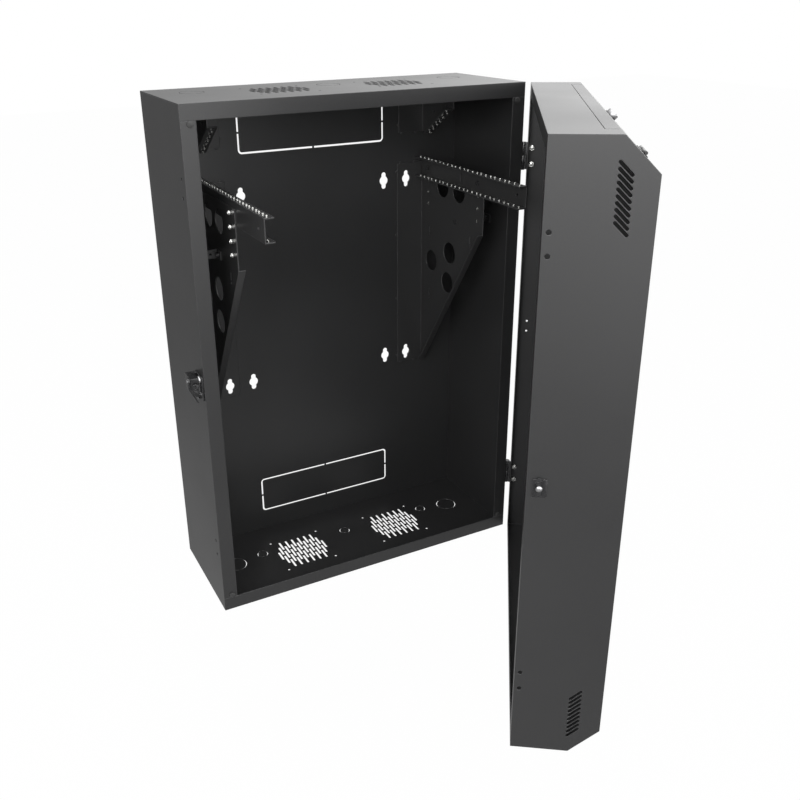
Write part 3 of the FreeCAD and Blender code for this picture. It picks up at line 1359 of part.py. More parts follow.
# The hook hangs at rest; a quarter turn swings its eye up and forward on to the strike stud.
eye = ("(latch_y + stud_below)", "(latch_level - stud_ahead)")
body = new_body("latch_hook")
hook_start = f"({hook_in} - latch_hook_gauge)"
sketch = new_sketch(body, "YZ_Plane", hook_start)
slot(sketch, ("latch_y", "latch_level"), eye, "hook_arm")
pad(body, sketch, "latch_hook_gauge")
for across, up, radius in (
    ("latch_y", "latch_level", "lever_top"),
    (*eye, "stud_radius + hook_mouth + hook_eye"),
):
    sketch = new_sketch(body, "YZ_Plane", hook_start)
    circle(sketch, across, up, radius)
    pad(body, sketch, "latch_hook_gauge")
sketch = new_sketch(body, "YZ_Plane")
lead = "(mouth_reach / sqrt(stud_ahead ^ 2 + stud_below ^ 2))"
mouth_end = (f"{eye[0]} - stud_ahead * {lead}", f"{eye[1]} - stud_below * {lead}")
slot(sketch, eye, mouth_end, "stud_radius + hook_mouth")
circle(sketch, "latch_y", "latch_level", "latch_shaft + latch_play")
pocket(body, sketch)
finish(body, "latch_hook")

cylinder_body = cylinder(
    "lock_radius",
    "lock_length",
    (lock_axis[0], f"{body_front} + lock_length - lock_proud", lock_axis[2]),
    "vector(1; 0; 0)",
    "90",
)
keyway = block(
    ("key_slot", "2 * key_slot_depth", "key_slot_length"),
    (
        f"{lock_axis[0]} - key_slot / 2",
        f"{body_front} - lock_proud - key_slot_depth",
        f"{lock_axis[2]} - key_slot_length / 2",
    ),
)
finish(without(cylinder_body, [keyway]), "lock_cylinder")

document.recompute()
for item in document.Objects:
    if any(word in item.State for word in ("Invalid", "Error")):
        raise RuntimeError(f"{item.Name} ({item.Label}) failed: {item.State}")
names = [item.Label for item in subparts]
if len(names) != len(set(names)):
    raise RuntimeError("two sub-parts share a name")
for item in subparts:
    if item.Shape.isNull() or not item.Shape.isValid():
        raise RuntimeError(f"{item.Label} has no valid shape")

os.makedirs("parts", exist_ok=True)
for item in subparts:
    item.Shape.exportStep(f"parts/{item.Label}.step")
    print(f"{item.Label:24} {len(item.Shape.Solids):3} {item.Shape.Volume / 1000:9.2f} cm3")
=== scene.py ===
import json
import logging
import math
from dataclasses import dataclass, field
from enum import Enum

import bmesh
import bpy
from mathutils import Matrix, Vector


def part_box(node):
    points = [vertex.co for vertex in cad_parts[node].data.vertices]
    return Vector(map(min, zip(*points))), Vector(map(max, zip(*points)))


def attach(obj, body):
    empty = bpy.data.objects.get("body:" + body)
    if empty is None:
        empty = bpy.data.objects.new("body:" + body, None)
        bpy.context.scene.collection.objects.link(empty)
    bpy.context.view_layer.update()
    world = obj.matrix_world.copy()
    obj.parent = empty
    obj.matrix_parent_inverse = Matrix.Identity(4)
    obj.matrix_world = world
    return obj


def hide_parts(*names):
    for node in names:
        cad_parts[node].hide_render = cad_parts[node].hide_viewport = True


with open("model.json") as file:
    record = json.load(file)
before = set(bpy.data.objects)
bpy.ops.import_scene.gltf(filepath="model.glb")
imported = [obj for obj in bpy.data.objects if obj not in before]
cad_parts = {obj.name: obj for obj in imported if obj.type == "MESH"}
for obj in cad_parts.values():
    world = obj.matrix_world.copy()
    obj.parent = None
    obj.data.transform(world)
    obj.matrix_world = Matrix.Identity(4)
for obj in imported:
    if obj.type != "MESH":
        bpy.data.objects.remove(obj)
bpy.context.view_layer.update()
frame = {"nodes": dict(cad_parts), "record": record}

LOG = logging.getLogger("wall_cabinet")
NODES = frame["nodes"]
BODY_OF = {node: body for body, nodes in frame["record"]["behaviour"]["bodies"].items() for node in nodes}
SLOT_OF = {part["node"]: part["material_slot"] for part in frame["record"]["subparts"]}

Colour = tuple[float, float, float]
Rgba = tuple[float, float, float, float]
Triple = tuple[float, float, float]
Span = tuple[float, float]
Stops = tuple[tuple[float, float], ...]
Socket = bpy.types.NodeSocket

WHITE: Rgba = (1.0, 1.0, 1.0, 1.0)
# Most values of a noise texture lie in this range.
NOISE_SPAN: Span = (0.3, 0.7)
# Samples that the soft edges take at each shaded point.
EDGE_SAMPLES = 4
# Cosine of the normal's turn at an edge, between where the rubbing and painted highlight start and peak.
WEAR_AND_HIGHLIGHT_TURN: Span = (0.985, 0.8)
# Patches of edge rubbing and painted highlight, in repeats per metre, and the share the faintest ones have.
WEAR_AND_HIGHLIGHT_PATCHES = 45.0
WEAR_AND_HIGHLIGHT_LEAST = 0.35
# Directions along an axis run over this range.
AXIS_SPAN: Span = (-1.0, 1.0)
# Highest brightness that a ramp holds.
RAMP_TOP = 3.0
# Vertices nearer to each other than this, in metres, are the same corner of the solid.
MERGE_DISTANCE = 1e-6
# Faces that bend less than this, in degrees, are one flat face.
FLAT_ANGLE = 0.5


class Slot(Enum):
    """Material slots of the record."""

    CABINET = "cabinet_powder_coat"
    BRACKET = "bracket_powder_coat"
    ZINC = "zinc"
    SCREW = "black_screw"
    HARDWARE = "black_hardware"
    CHROME = "chrome"
    RUBBER = "bumper_rubber"


class Side(Enum):
    """Sides of the cabinet, each with the sign of its x."""

    LEFT = -1
    RIGHT = 1


class Mix(Enum):
    """What a mix node mixes: its data type, then the places of its two inputs and its output."""

    VALUE = ("FLOAT", 2, 3, 0)
    COLOUR = ("RGBA", 6, 7, 2)


def scaled(colour: Colour, factor: float) -> Colour:
    """Return a colour made lighter or darker by a factor."""
    return tuple(min(1.0, channel * factor) for channel in colour)


def opaque(colour: Colour) -> Rgba:
    """Return a colour with full alpha."""
    return (*colour, 1.0)


@dataclass
class NodeGraph:
    """Small helper that adds and links the nodes of a material or of the world.

    Attributes:
        tree: The node tree that is edited.
    """

    tree: bpy.types.NodeTree

    def add(self, kind: str, **values: object) -> bpy.types.Node:
        """Add a node and set its properties or input sockets.

        Args:
            kind: Blender's node type name.
            **values: Property values, or socket values keyed by the socket's name with underscores.

        Returns:
            The new node.
        """
        node = self.tree.nodes.new(kind)
        for key, value in values.items():
            if hasattr(node, key):
                setattr(node, key, value)
            else:
                node.inputs[key.replace("_", " ").title()].default_value = value
        return node

    def feed(self, target: Socket, value: Socket | float | Rgba) -> None:
        """Link a socket to an input, or set the input to a constant.

        Args:
            target: Input socket.
            value: Output socket or constant.
        """
        if isinstance(value, Socket):
            self.tree.links.new(value, target)
        else:
            target.default_value = value

    def remap(self, source: Socket, span: Span, low: float = 0.0, high: float = 1.0) -> Socket:
        """Map a span of values on to another and hold it at both ends.

        Args:
            source: Socket to map.
            span: Values that map to low and to high.
            low: Result at the first value.
            high: Result at the second value.

        Returns:
            The mapped socket.
        """
        node = self.add("ShaderNodeMapRange", from_min=span[0], from_max=span[1], to_min=low, to_max=high)
        self.feed(node.inputs["Value"], source)
        return node.outputs["Result"]

    def combine(self, operation: str, first: Socket, second: Socket | float) -> Socket:
        """Combine two values.

        Args:
            operation: Blender's name of the operation.
            first: First value.
            second: Second value.

        Returns:
            The result's socket.
        """
        node = self.add("ShaderNodeMath", operation=operation)
        self.feed(node.inputs[0], first)
        self.feed(node.inputs[1], second)
        return node.outputs[0]

    def mix(
        self, kind: Mix, factor: Socket, low: Socket | float | Rgba, high: Socket | float | Rgba
    ) -> Socket:
        """Value or colour between two others by a factor.

        Args:
            kind: What is mixed.
            factor: Mix factor socket.
            low: Value or colour at 0.
            high: Value or colour at 1.

        Returns:
            The mixed socket.
        """
        data_type, first, second, result = kind.value
        node = self.add("ShaderNodeMix", data_type=data_type)
        for place, value in ((0, factor), (first, low), (second, high)):
            self.feed(node.inputs[place], value)
        return node.outputs[result]

    def mix_shaders(self, factor: Socket, low: bpy.types.Node, high: bpy.types.Node) -> bpy.types.Node:
        """Shader between two others by a factor.

        Args:
            factor: Mix factor socket.
            low: Shader node at 0.
            high: Shader node at 1.

        Returns:
            The mixing node.
        """
        node = self.add("ShaderNodeMixShader")
        for place, value in enumerate((factor, low.outputs[0], high.outputs[0])):
            self.feed(node.inputs[place], value)
        return node

    def axes(self, source: Socket) -> bpy.types.NodeOutputs:
        """Split a vector into its parts.

        Args:
            source: Vector socket.

        Returns:
            Its X, Y and Z sockets, by name.
        """
        node = self.add("ShaderNodeSeparateXYZ")
        self.feed(node.inputs[0], source)
        return node.outputs

    def ramp(self, source: Socket, stops: Stops) -> Socket:
        """Brightness along a value of -1 to 1.

        Args:
            source: Value to look up.
            stops: Pairs of value and brightness, the latter at most RAMP_TOP.

        Returns:
            The brightness socket.
        """
        curve = self.add("ShaderNodeFloatCurve")
        points = curve.mapping.curves[0].points
        while len(points) < len(stops):
            points.new(0.5, 0.5)
        for point, (where, bright) in zip(points, stops):
            point.location = ((where + 1.0) / 2.0, bright / RAMP_TOP)
            point.handle_type = "VECTOR"
        curve.mapping.update()
        self.feed(curve.inputs["Value"], self.remap(source, AXIS_SPAN))
        return self.combine("MULTIPLY", curve.outputs["Value"], RAMP_TOP)


@dataclass
class FinishGraph(NodeGraph):
    """Graph of one material, with the steps that the finishes share.

    Attributes:
        material: The material whose nodes are edited.
    """

    material: bpy.types.Material

    @classmethod
    def fresh(cls, name: str) -> "FinishGraph":
        """Make a new material with a principled shader.

        Args:
            name: Material name.

        Returns:
            Its graph.
        """
        material = bpy.data.materials.new(name)
        material.use_nodes = True
        return cls(material.node_tree, material)

    @property
    def shader(self) -> bpy.types.Node:
        """The material's principled shader."""
        return self.tree.nodes["Principled BSDF"]

    def noise(self, scale: float, detail: float = 2.0) -> Socket:
        """Noise over the object's own coordinates.

        Args:
            scale: Noise scale, in repeats per metre.
            detail: Octaves of detail.

        Returns:
            The noise value socket.
        """
        where = self.add("ShaderNodeTexCoord")
        noise = self.add("ShaderNodeTexNoise", scale=scale, detail=detail)
        self.feed(noise.inputs["Vector"], where.outputs["Object"])
        return noise.outputs["Fac"]

    def spread(self, noise: Socket, low: float = 0.0, high: float = 1.0) -> Socket:
        """Spread a noise over a range.

        Args:
            noise: Noise value socket.
            low: Result where the noise is low.
            high: Result where the noise is high.

        Returns:
            The spread socket.
        """
        return self.remap(noise, NOISE_SPAN, low, high)

    def blend(self, factor: Socket, low: Socket | Colour, high: Colour) -> Socket:
        """Mix two colours by a factor.

        Args:
            factor: Mix factor socket.
            low: Colour at 0, or its socket.
            high: Colour at 1.

        Returns:
            The mixed colour socket.
        """
        lower = low if isinstance(low, Socket) else opaque(low)
        return self.mix(Mix.COLOUR, factor, lower, opaque(high))

    def soft_edges(self, radius: float) -> Socket:
        """Normal that turns smoothly round the piece's edges.

        Args:
            radius: Radius of the edges in metres.

        Returns:
            The normal socket.
        """
        return self.add("ShaderNodeBevel", samples=EDGE_SAMPLES, radius=radius).outputs["Normal"]

    def wear_and_highlight_edges(self, soft_normal: Socket, amount: float) -> Socket:
        """Mask of the rounded edges, partly rubbing and partly painted highlight, broken up so it is
        uneven.

        Args:
            soft_normal: Normal that turns round the edges.
            amount: Mask value where the rubbing and painted highlight are strongest.

        Returns:
            The mask socket.
        """
        geometry = self.add("ShaderNodeNewGeometry")
        turn = self.add("ShaderNodeVectorMath", operation="DOT_PRODUCT")
        self.feed(turn.inputs[0], soft_normal)
        self.feed(turn.inputs[1], geometry.outputs["Normal"])
        edge = self.remap(turn.outputs["Value"], WEAR_AND_HIGHLIGHT_TURN)
        uneven = self.spread(self.noise(WEAR_AND_HIGHLIGHT_PATCHES), WEAR_AND_HIGHLIGHT_LEAST * amount, amount)
        return self.combine("MULTIPLY", edge, uneven)

    def bump(
        self, height: Socket, strength: float, distance: float, soft_normal: Socket | None = None
    ) -> Socket:
        """Bump from a height socket.

        Args:
            height: Height socket.
            strength: Bump strength.
            distance: Height of the relief, in metres.
            soft_normal: Normal to start from, the mesh's own where it is None.

        Returns:
            The normal socket.
        """
        node = self.add("ShaderNodeBump", strength=strength, distance=distance)
        self.feed(node.inputs["Height"], height)
        if soft_normal is not None:
            self.feed(node.inputs["Normal"], soft_normal)
        return node.outputs["Normal"]

    def finish(self, colour: Socket, roughness: Socket, normal: Socket) -> bpy.types.Material:
        """Join colour, roughness and normal to the shader.

        Args:
            colour: Base colour socket.
            roughness: Roughness socket.
            normal: Normal socket.

        Returns:
            The finished material.
        """
        for name, value in (("Base Color", colour), ("Roughness", roughness), ("Normal", normal)):
            self.feed(self.shader.inputs[name], value)
        return self.material


@dataclass(frozen=True)
class PowderCoat:
    """Fine textured powder coat on sheet steel.

    Attributes:
        name: Material name.
        colour: Linear colour of the coat.
        roughness: Mean roughness.
        uneven: How far the roughness varies.
        refraction: Index of refraction of the coat.
        cloud: Repeats per metre of the coat's slow changes.
        grain: Repeats per metre of the coat's fine texture.
        detail: Octaves of detail in both.
        tones: Darkest and lightest tone of the fine texture, as shares of the colour.
        patch: Tone of the slow changes, as a share of the colour.
        strength: Bump strength of the fine texture.
        relief: Height of that texture in metres.
        wear_and_highlight: Colour of the edges, partly thin rubbed coat and partly painted highlight.
        wear_and_highlight_share: How much of that colour shows at most.
        edge: Radius of folds and edges in metres.
    """

    name: str
    colour: Colour
    roughness: float = 0.36
    uneven: float = 0.03
    refraction: float = 1.5
    cloud: float = 3.5
    grain: float = 900.0
    detail: float = 3.0
    tones: Span = (0.8, 1.25)
    patch: float = 1.15
    strength: float = 0.2
    relief: float = 0.00008
    wear_and_highlight: Colour = (0.13, 0.13, 0.133)
    wear_and_highlight_share: float = 0.6
    edge: float = 0.0016

    def material(self) -> bpy.types.Material:
        """Build the material.

        Returns:
            The new material.
        """
        graph = FinishGraph.fresh(self.name)
        graph.shader.inputs["IOR"].default_value = self.refraction
        cloud = graph.noise(self.cloud, self.detail)
        fine = graph.noise(self.grain, self.detail)
        soft = graph.soft_edges(self.edge)
        dark, light = (scaled(self.colour, tone) for tone in self.tones)
        coat = graph.blend(graph.spread(fine), dark, light)
        patchy = graph.blend(graph.spread(cloud), coat, scaled(self.colour, self.patch))
        # Lighter edges: partly thin, rubbed coat, partly a painted highlight along the folds.
        colour = graph.blend(graph.wear_and_highlight_edges(soft, self.wear_and_highlight_share), patchy, self.wear_and_highlight)
        roughness = graph.spread(cloud, self.roughness - self.uneven, self.roughness + self.uneven)
        return graph.finish(colour, roughness, graph.bump(fine, self.strength, self.relief, soft))


@dataclass(frozen=True)
class PlatedMetal:
    """Plated or polished metal with faint cloudiness and fine scratches.

    Attributes:
        name: Material name.
        colour: Linear colour of the plating.
        roughness: Mean roughness.
        uneven: How far the roughness varies.
        cloud: Repeats per metre of the cloudiness.
        detail: Octaves of detail in it.
        dull: Tone where the plating is cloudy, as a share of the colour.
        scratches: Repeats per metre of the scratches.
        strength: Bump strength of the scratches.
        relief: Their depth in metres.
    """

    name: str
    colour: Colour
    roughness: float
    uneven: float = 0.05
    cloud: float = 260.0
    detail: float = 3.0
    dull: float = 0.86
    scratches: float = 1400.0
    strength: float = 0.12
    relief: float = 0.00003

    def material(self) -> bpy.types.Material:
        """Build the material.

        Returns:
            The new material.
        """
        graph = FinishGraph.fresh(self.name)
        graph.shader.inputs["Metallic"].default_value = 1.0
        cloud = graph.noise(self.cloud, self.detail)
        colour = graph.blend(graph.spread(cloud), scaled(self.colour, self.dull), self.colour)
        roughness = graph.spread(cloud, self.roughness - self.uneven, self.roughness + self.uneven)
        normal = graph.bump(graph.noise(self.scratches), self.strength, self.relief)
        return graph.finish(colour, roughness, normal)


@dataclass(frozen=True)
class BlackFinish:
    """Black plating or rubber: a dark coat with fine mottling.

    Attributes:
        name: Material name.
        colour: Linear colour.
        roughness: Mean roughness.
        uneven: How far the roughness varies.
        mottle: Repeats per metre of the mottling.
        tones: Darkest and lightest tone of the mottling, as shares of the colour.
        strength: Bump strength of the mottling.
        relief: Its height in metres.
        wear_and_highlight: Colour of the edges, partly where the finish is rubbed and partly painted
            highlight.
        wear_and_highlight_share: How much of that colour shows at most.
        edge: Radius of the edges in metres.
    """

    name: str
    colour: Colour
    roughness: float
    uneven: float = 0.06
    mottle: float = 700.0
    tones: Span = (0.75, 1.3)
    strength: float = 0.15
    relief: float = 0.00005
    wear_and_highlight: Colour = (0.07, 0.07, 0.07)
    wear_and_highlight_share: float = 0.7
    edge: float = 0.0005

    def material(self) -> bpy.types.Material:
        """Build the material.

        Returns:
            The new material.
        """
        graph = FinishGraph.fresh(self.name)
        cloud = graph.noise(self.mottle)
        soft = graph.soft_edges(self.edge)
        dark, light = (scaled(self.colour, tone) for tone in self.tones)
        mottled = graph.blend(graph.spread(cloud), dark, light)
        # Lighter rims: partly rubbed finish, partly a painted highlight.
        colour = graph.blend(graph.wear_and_highlight_edges(soft, self.wear_and_highlight_share), mottled, self.wear_and_highlight)
        roughness = graph.spread(cloud, self.roughness - self.uneven, self.roughness + self.uneven)
        return graph.finish(colour, roughness, graph.bump(cloud, self.strength, self.relief, soft))


FINISHES: dict[Slot, PowderCoat | PlatedMetal | BlackFinish] = {
    Slot.CABINET: PowderCoat("cabinet_powder_coat", (0.023, 0.023, 0.0235)),
    Slot.BRACKET: PowderCoat("bracket_powder_coat", (0.026, 0.026, 0.0264), roughness=0.32),
    Slot.ZINC: PlatedMetal("bright_zinc", (0.66, 0.66, 0.64), roughness=0.26),
    Slot.SCREW: BlackFinish("black_screw", (0.02, 0.02, 0.021), roughness=0.28),
    # Light grey edges of the black hardware: partly rubbed finish, partly painted highlight on the rims.
    Slot.HARDWARE: BlackFinish(
        "black_hardware", (0.014, 0.014, 0.015), roughness=0.26, wear_and_highlight=(0.3, 0.3, 0.3), edge=0.0009
    ),
    Slot.CHROME: PlatedMetal("bright_chrome", (0.43, 0.43, 0.435), roughness=0.34),
    Slot.RUBBER: BlackFinish("black_rubber", (0.03, 0.03, 0.03), roughness=0.6, mottle=400.0),
}


@dataclass
class Wardrobe:
    """Materials by slot, built once.

    Attributes:
        materials: Material for each slot.
    """

    materials: dict[Slot, bpy.types.Material] = field(default_factory=dict)

    def __post_init__(self) -> None:
        """Build every finish."""
        for slot, finish in FINISHES.items():
            self.materials[slot] = finish.material()

    def dress_node(self, node: str) -> None:
        """Give a CAD node its finish.

        Args:
            node: Node name.
        """
        target = NODES[node]
        material = self.materials[Slot(SLOT_OF[node])]
        if not target.material_slots:
            target.data.materials.append(material)
        for holder in target.material_slots:
            holder.material = material

    def dress_piece(self, piece: bpy.types.Object, slot: Slot) -> None:
        """Give a new piece its only finish, the one of its slot.

        Args:
            piece: The piece.
            slot: Its slot.
        """
        piece.data.materials.clear()
        piece.data.materials.append(self.materials[slot])


def link_object(name: str, data: bpy.types.ID) -> bpy.types.Object:
    """Put a mesh, a lamp or a camera into the scene.

    Args:
        name: Name of the object.
        data: Its mesh, lamp or camera data.

    Returns:
        The new object.
    """
    item = bpy.data.objects.new(name, data)
    bpy.context.scene.collection.objects.link(item)
    return item


def finished_mesh(name: str, work: bmesh.types.BMesh) -> bpy.types.Mesh:
    """Turn a mesh under construction into a mesh, and free the former.

    Args:
        name: Name of the mesh.
        work: The mesh under construction.

    Returns:
        The new mesh.
    """
    mesh = bpy.data.meshes.new(name)
    work.to_mesh(mesh)
    work.free()
    return mesh


@dataclass(frozen=True)
class EdgeRounding:
    """Rounds a fitting's edges, less where one of the two faces is narrow.

    Attributes:
        fold: Radius where two wide faces meet, in metres.
        share: Largest radius as a share of the narrower face's width.
        angle: Smallest bend, in degrees, that gets rounded.
        segments: Faces across each edge.
    """

    fold: float
    share: float
    angle: float = 35.0
    segments: int = 2

    def radius(self, edge: bmesh.types.BMEdge) -> float:
        """Radius for one edge, zero where it stays as it is.

        Args:
            edge: The edge.

        Returns:
            Its radius in metres.
        """
        if len(edge.link_faces) != 2 or edge.calc_face_angle(0.0) < math.radians(self.angle):
            return 0.0
        narrow = min(2.0 * face.calc_area() / face.calc_perimeter() for face in edge.link_faces)
        return min(self.fold, self.share * narrow)

    def weighted_mesh(self, node: str) -> bpy.types.Mesh:
        """Copy a node's mesh with each edge's share of the fold radius stored on it.

        Args:
            node: Node name.

        Returns:
            The new mesh.
        """
        work = bmesh.new()
        work.from_mesh(NODES[node].data)
        bmesh.ops.remove_doubles(work, verts=work.verts, dist=MERGE_DISTANCE)
        flat = math.radians(FLAT_ANGLE)
        bmesh.ops.dissolve_limit(work, angle_limit=flat, verts=work.verts, edges=work.edges)
        weight = work.edges.layers.float.new("bevel_weight_edge")
        for edge in work.edges:
            edge[weight] = self.radius(edge) / self.fold
        mesh = finished_mesh(node + "_rounded", work)
        mesh.shade_smooth()
        return mesh

    def apply(self, node: str) -> bpy.types.Object:
        """Round a copy of a node, and let the copy stand for it.

        Args:
            node: Node name.

        Returns:
            The rounded piece.
        """
        piece = link_object(node + "_rounded", self.weighted_mesh(node))
        bevel = piece.modifiers.new("edge", "BEVEL")
        bevel.width = self.fold
        bevel.segments = self.segments
        bevel.limit_method = "WEIGHT"
        bevel.use_clamp_overlap = True
        bevel.harden_normals = True
        depsgraph = bpy.context.evaluated_depsgraph_get()
        final = bpy.data.meshes.new_from_object(piece.evaluated_get(depsgraph), depsgraph=depsgraph)
        piece.modifiers.clear()
        piece.data = final
        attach(piece, BODY_OF[node])
        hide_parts(node)
        return piece


FITTING = EdgeRounding(fold=0.0009, share=0.3)
SMALL_FITTING = EdgeRounding(fold=0.0004, share=0.25)


@dataclass
class Assembly:
    """A group of CAD nodes that are rounded and dressed together.

    Attributes:
        wardrobe: Materials to dress them with.
        edges: Rounding of each node that gets a rounded copy.
        plain: Nodes that only get their finish.
    """

    wardrobe: Wardrobe
    edges: dict[str, EdgeRounding] = field(default_factory=dict)
    plain: tuple[str, ...] = ()

    def build(self) -> None:
        """Round and dress the group's nodes."""
        for node, rounding in self.edges.items():
            piece = rounding.apply(node)
            self.wardrobe.dress_piece(piece, Slot(SLOT_OF[node]))
            self.wardrobe.dress_node(node)
            LOG.info("%s: %s with %d faces", type(self).__name__, piece.name, len(piece.data.polygons))
        for node in self.plain:
            self.wardrobe.dress_node(node)
            LOG.info("%s: %s as it is", type(self).__name__, node)


@dataclass
class CabinetBody(Assembly):
    """Body of folded sheet: back, top, bottom and both sides."""

    plain: tuple[str, ...] = (
        "back_panel",
        "top_panel",
        "bottom_panel",
        "side_panel_left",
        "side_panel_right",
    )


@dataclass(frozen=True)
class ThreadRing:
    """Bare threads of a tapped hole, as a ridged sleeve.

    Attributes:
        radius: Outer radius, in metres.
        depth: Height of a thread ridge.
        groove: Wall left at the foot of a groove, as a share of that height.
        pitch: Distance between ridges.
        proud: Height of the drawn collar on each side of the sheet.
        sides: Faces round the hole.
    """

    radius: float = 0.00247
    depth: float = 0.0004
    groove: float = 0.15
    pitch: float = 0.0005
    proud: float = 0.0018
    sides: int = 20

    def circle(
        self, work: bmesh.types.BMesh, middle: Vector, axis: Vector, radius: float
    ) -> list[bmesh.types.BMVert]:
        """Add a circle of vertices to a mesh under construction.

        Args:
            work: The mesh.
            middle: Centre of the circle.
            axis: Unit vector square to it.
            radius: Its radius.

        Returns:
            The vertices in order.
        """
        across = axis.orthogonal().normalized()
        up = axis.cross(across)
        turns = (2.0 * math.pi * side / self.sides for side in range(self.sides))
        return [work.verts.new(middle + radius * (math.cos(t) * across + math.sin(t) * up)) for t in turns]

    def add(self, work: bmesh.types.BMesh, centre: Vector, axis: Vector, length: float) -> None:
        """Add one sleeve to a mesh under construction.

        Args:
            work: The mesh.
            centre: Middle of the hole.
            axis: Unit vector along the hole.
            length: Length of the sleeve.
        """
        steps = 2 * max(1, round(length / self.pitch))
        rows = []
        for step in range(steps + 1):
            inner = self.radius - self.depth * (1.0 if step % 2 else self.groove)
            rows.append(self.circle(work, centre + axis * length * (step / steps - 0.5), axis, inner))
        start, end = (
            self.circle(work, centre + axis * length * half, axis, self.radius) for half in (-0.5, 0.5)
        )
        loops = [start, *rows, end, start]
        for first, second in zip(loops, loops[1:]):
            for side in range(self.sides):
                after = (side + 1) % self.sides
                work.faces.new((first[side], first[after], second[after], second[side]))


@dataclass
class RackSupports(Assembly):
    """Brackets, rails, upper brackets and braces, with their nuts, screws and tapped holes.

    Attributes:
        rack_line: Distance of the rack holes from the centre line.
        rack_first: First rack hole from the wall.
        rack_steps: The three holes of a rack unit.
        rack_unit: One rack unit.
        sheet: Thickness of the brackets' sheet.
        slope_foot: Foot of the upper bracket's slope from the wall.
        slope_first: First tapped hole from the foot of the slope.
        slope_angle: Slope of the upper bracket's flange, in degrees.
        slope_units: Rack units on that flange.
        ring: Threads of each tapped hole.
    """

    edges: dict[str, EdgeRounding] = field(default_factory=lambda: {"clinch_nuts": SMALL_FITTING})
    plain: tuple[str, ...] = (
        "bracket_left",
        "bracket_right",
        "rail_left",
        "rail_right",
        "upper_bracket_left",
        "upper_bracket_right",
        "side_brace_left",
        "side_brace_right",
        "rail_screws",
        "brace_bolts",
    )
    rack_line: float = 0.23255
    rack_first: float = 0.0127
    rack_steps: tuple[float, ...] = (0.0, 0.015875, 0.03175)
    rack_unit: float = 0.04445
    sheet: float = 0.002
    slope_foot: float = 0.04
    slope_first: float = 0.01
    slope_angle: float = 34.0
    slope_units: int = 2
    ring: ThreadRing = ThreadRing()

    def rail_threads(self, side: Side) -> None:
        """Threads of the tapped holes in both flanges of a rail.

        Args:
            side: Side of the rail.
        """
        name = side.name.lower()
        low, high = (Vector(corner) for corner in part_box(f"rail_{name}"))
        work = bmesh.new()
        unit = 0
        while self.rack_first + unit * self.rack_unit + self.rack_steps[-1] < -low.y:
            for step in self.rack_steps:
                away = self.rack_first + unit * self.rack_unit + step
                if away + self.ring.radius < -high.y:
                    continue
                for level in (low.z + self.sheet / 2, high.z - self.sheet / 2):
                    centre = Vector((side.value * self.rack_line, -away, level))
                    self.ring.add(work, centre, Vector((0.0, 0.0, 1.0)), self.sheet + 2.0 * self.ring.proud)
            unit += 1
        self.thread_piece(work, f"rail_threads_{name}")

    def slope_threads(self, side: Side) -> None:
        """Threads of the tapped holes in an upper bracket's sloped flange.

        Args:
            side: Side of the bracket.
        """
        name = side.name.lower()
        low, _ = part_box(f"upper_bracket_{name}")
        tilt = math.radians(self.slope_angle)
        up_slope = Vector((0.0, -math.cos(tilt), math.sin(tilt)))
        out = Vector((0.0, math.sin(tilt), math.cos(tilt)))
        foot = Vector((side.value * self.rack_line, -self.slope_foot, low[2])) + out * self.sheet / 2
        work = bmesh.new()
        for unit in range(self.slope_units):
            for step in self.rack_steps:
                along = self.slope_first + unit * self.rack_unit + step
                self.ring.add(work, foot + up_slope * along, out, self.sheet)
        self.thread_piece(work, f"upper_threads_{name}")

    def thread_piece(self, work: bmesh.types.BMesh, name: str) -> None:
        """Turn finished sleeves into a bare metal piece that rides with the cabinet.

        Args:
            work: Mesh with the sleeves.
            name: Piece name.
        """
        bmesh.ops.recalc_face_normals(work, faces=work.faces)
        piece = link_object(name, finished_mesh(name, work))
        self.wardrobe.dress_piece(piece, Slot.ZINC)
        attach(piece, "cabinet")
        LOG.info("%s: %s with %d faces", type(self).__name__, name, len(piece.data.polygons))

    def build(self) -> None:
        """Round and dress the supports, then thread their holes."""
        super().build()
        for side in Side:
            self.rail_threads(side)
            self.slope_threads(side)


@dataclass
class Hinges(Assembly):
    """Both door hinges with their bolts, nuts and pins."""

    edges: dict[str, EdgeRounding] = field(
        default_factory=lambda: {
            "hinge_upper_body_leaf": FITTING,
            "hinge_lower_body_leaf": FITTING,
            "hinge_upper_door_leaf": FITTING,
            "hinge_lower_door_leaf": FITTING,
            "body_hinge_nuts": SMALL_FITTING,
            "door_hinge_nuts": SMALL_FITTING,
            "body_hinge_bolts": FITTING,
            "door_hinge_bolts": FITTING,
        }
    )
    plain: tuple[str, ...] = ("hinge_pins",)


@dataclass
class Latch(Assembly):
    """Swing latch on the left wall and the strike it closes on."""

    edges: dict[str, EdgeRounding] = field(
        default_factory=lambda: {
            "latch_base": FITTING,
            "latch_lever": FITTING,
            "latch_hook": SMALL_FITTING,
            "lock_cylinder": FITTING,
            "strike_plate": FITTING,
            "strike_stud": SMALL_FITTING,
        }
    )
    plain: tuple[str, ...] = ("latch_screws", "latch_shaft", "strike_screws")


@dataclass
class Door(Assembly):
    """Door shell and its bumpers."""

    edges: dict[str, EdgeRounding] = field(default_factory=lambda: {"bumpers": FITTING})
    plain: tuple[str, ...] = ("door_shell",)


@dataclass
class Hatch(Assembly):
    """Hatch over the door's bevel with its hinges and lock."""

    edges: dict[str, EdgeRounding] = field(
        default_factory=lambda: {
            "hatch_lock": FITTING,
            "hatch_key_plug": SMALL_FITTING,
            "hatch_cam": SMALL_FITTING,
            "hatch_leaves": SMALL_FITTING,
            "hatch_door_leaves": SMALL_FITTING,
        }
    )
    plain: tuple[str, ...] = ("hatch_panel", "hatch_pins")


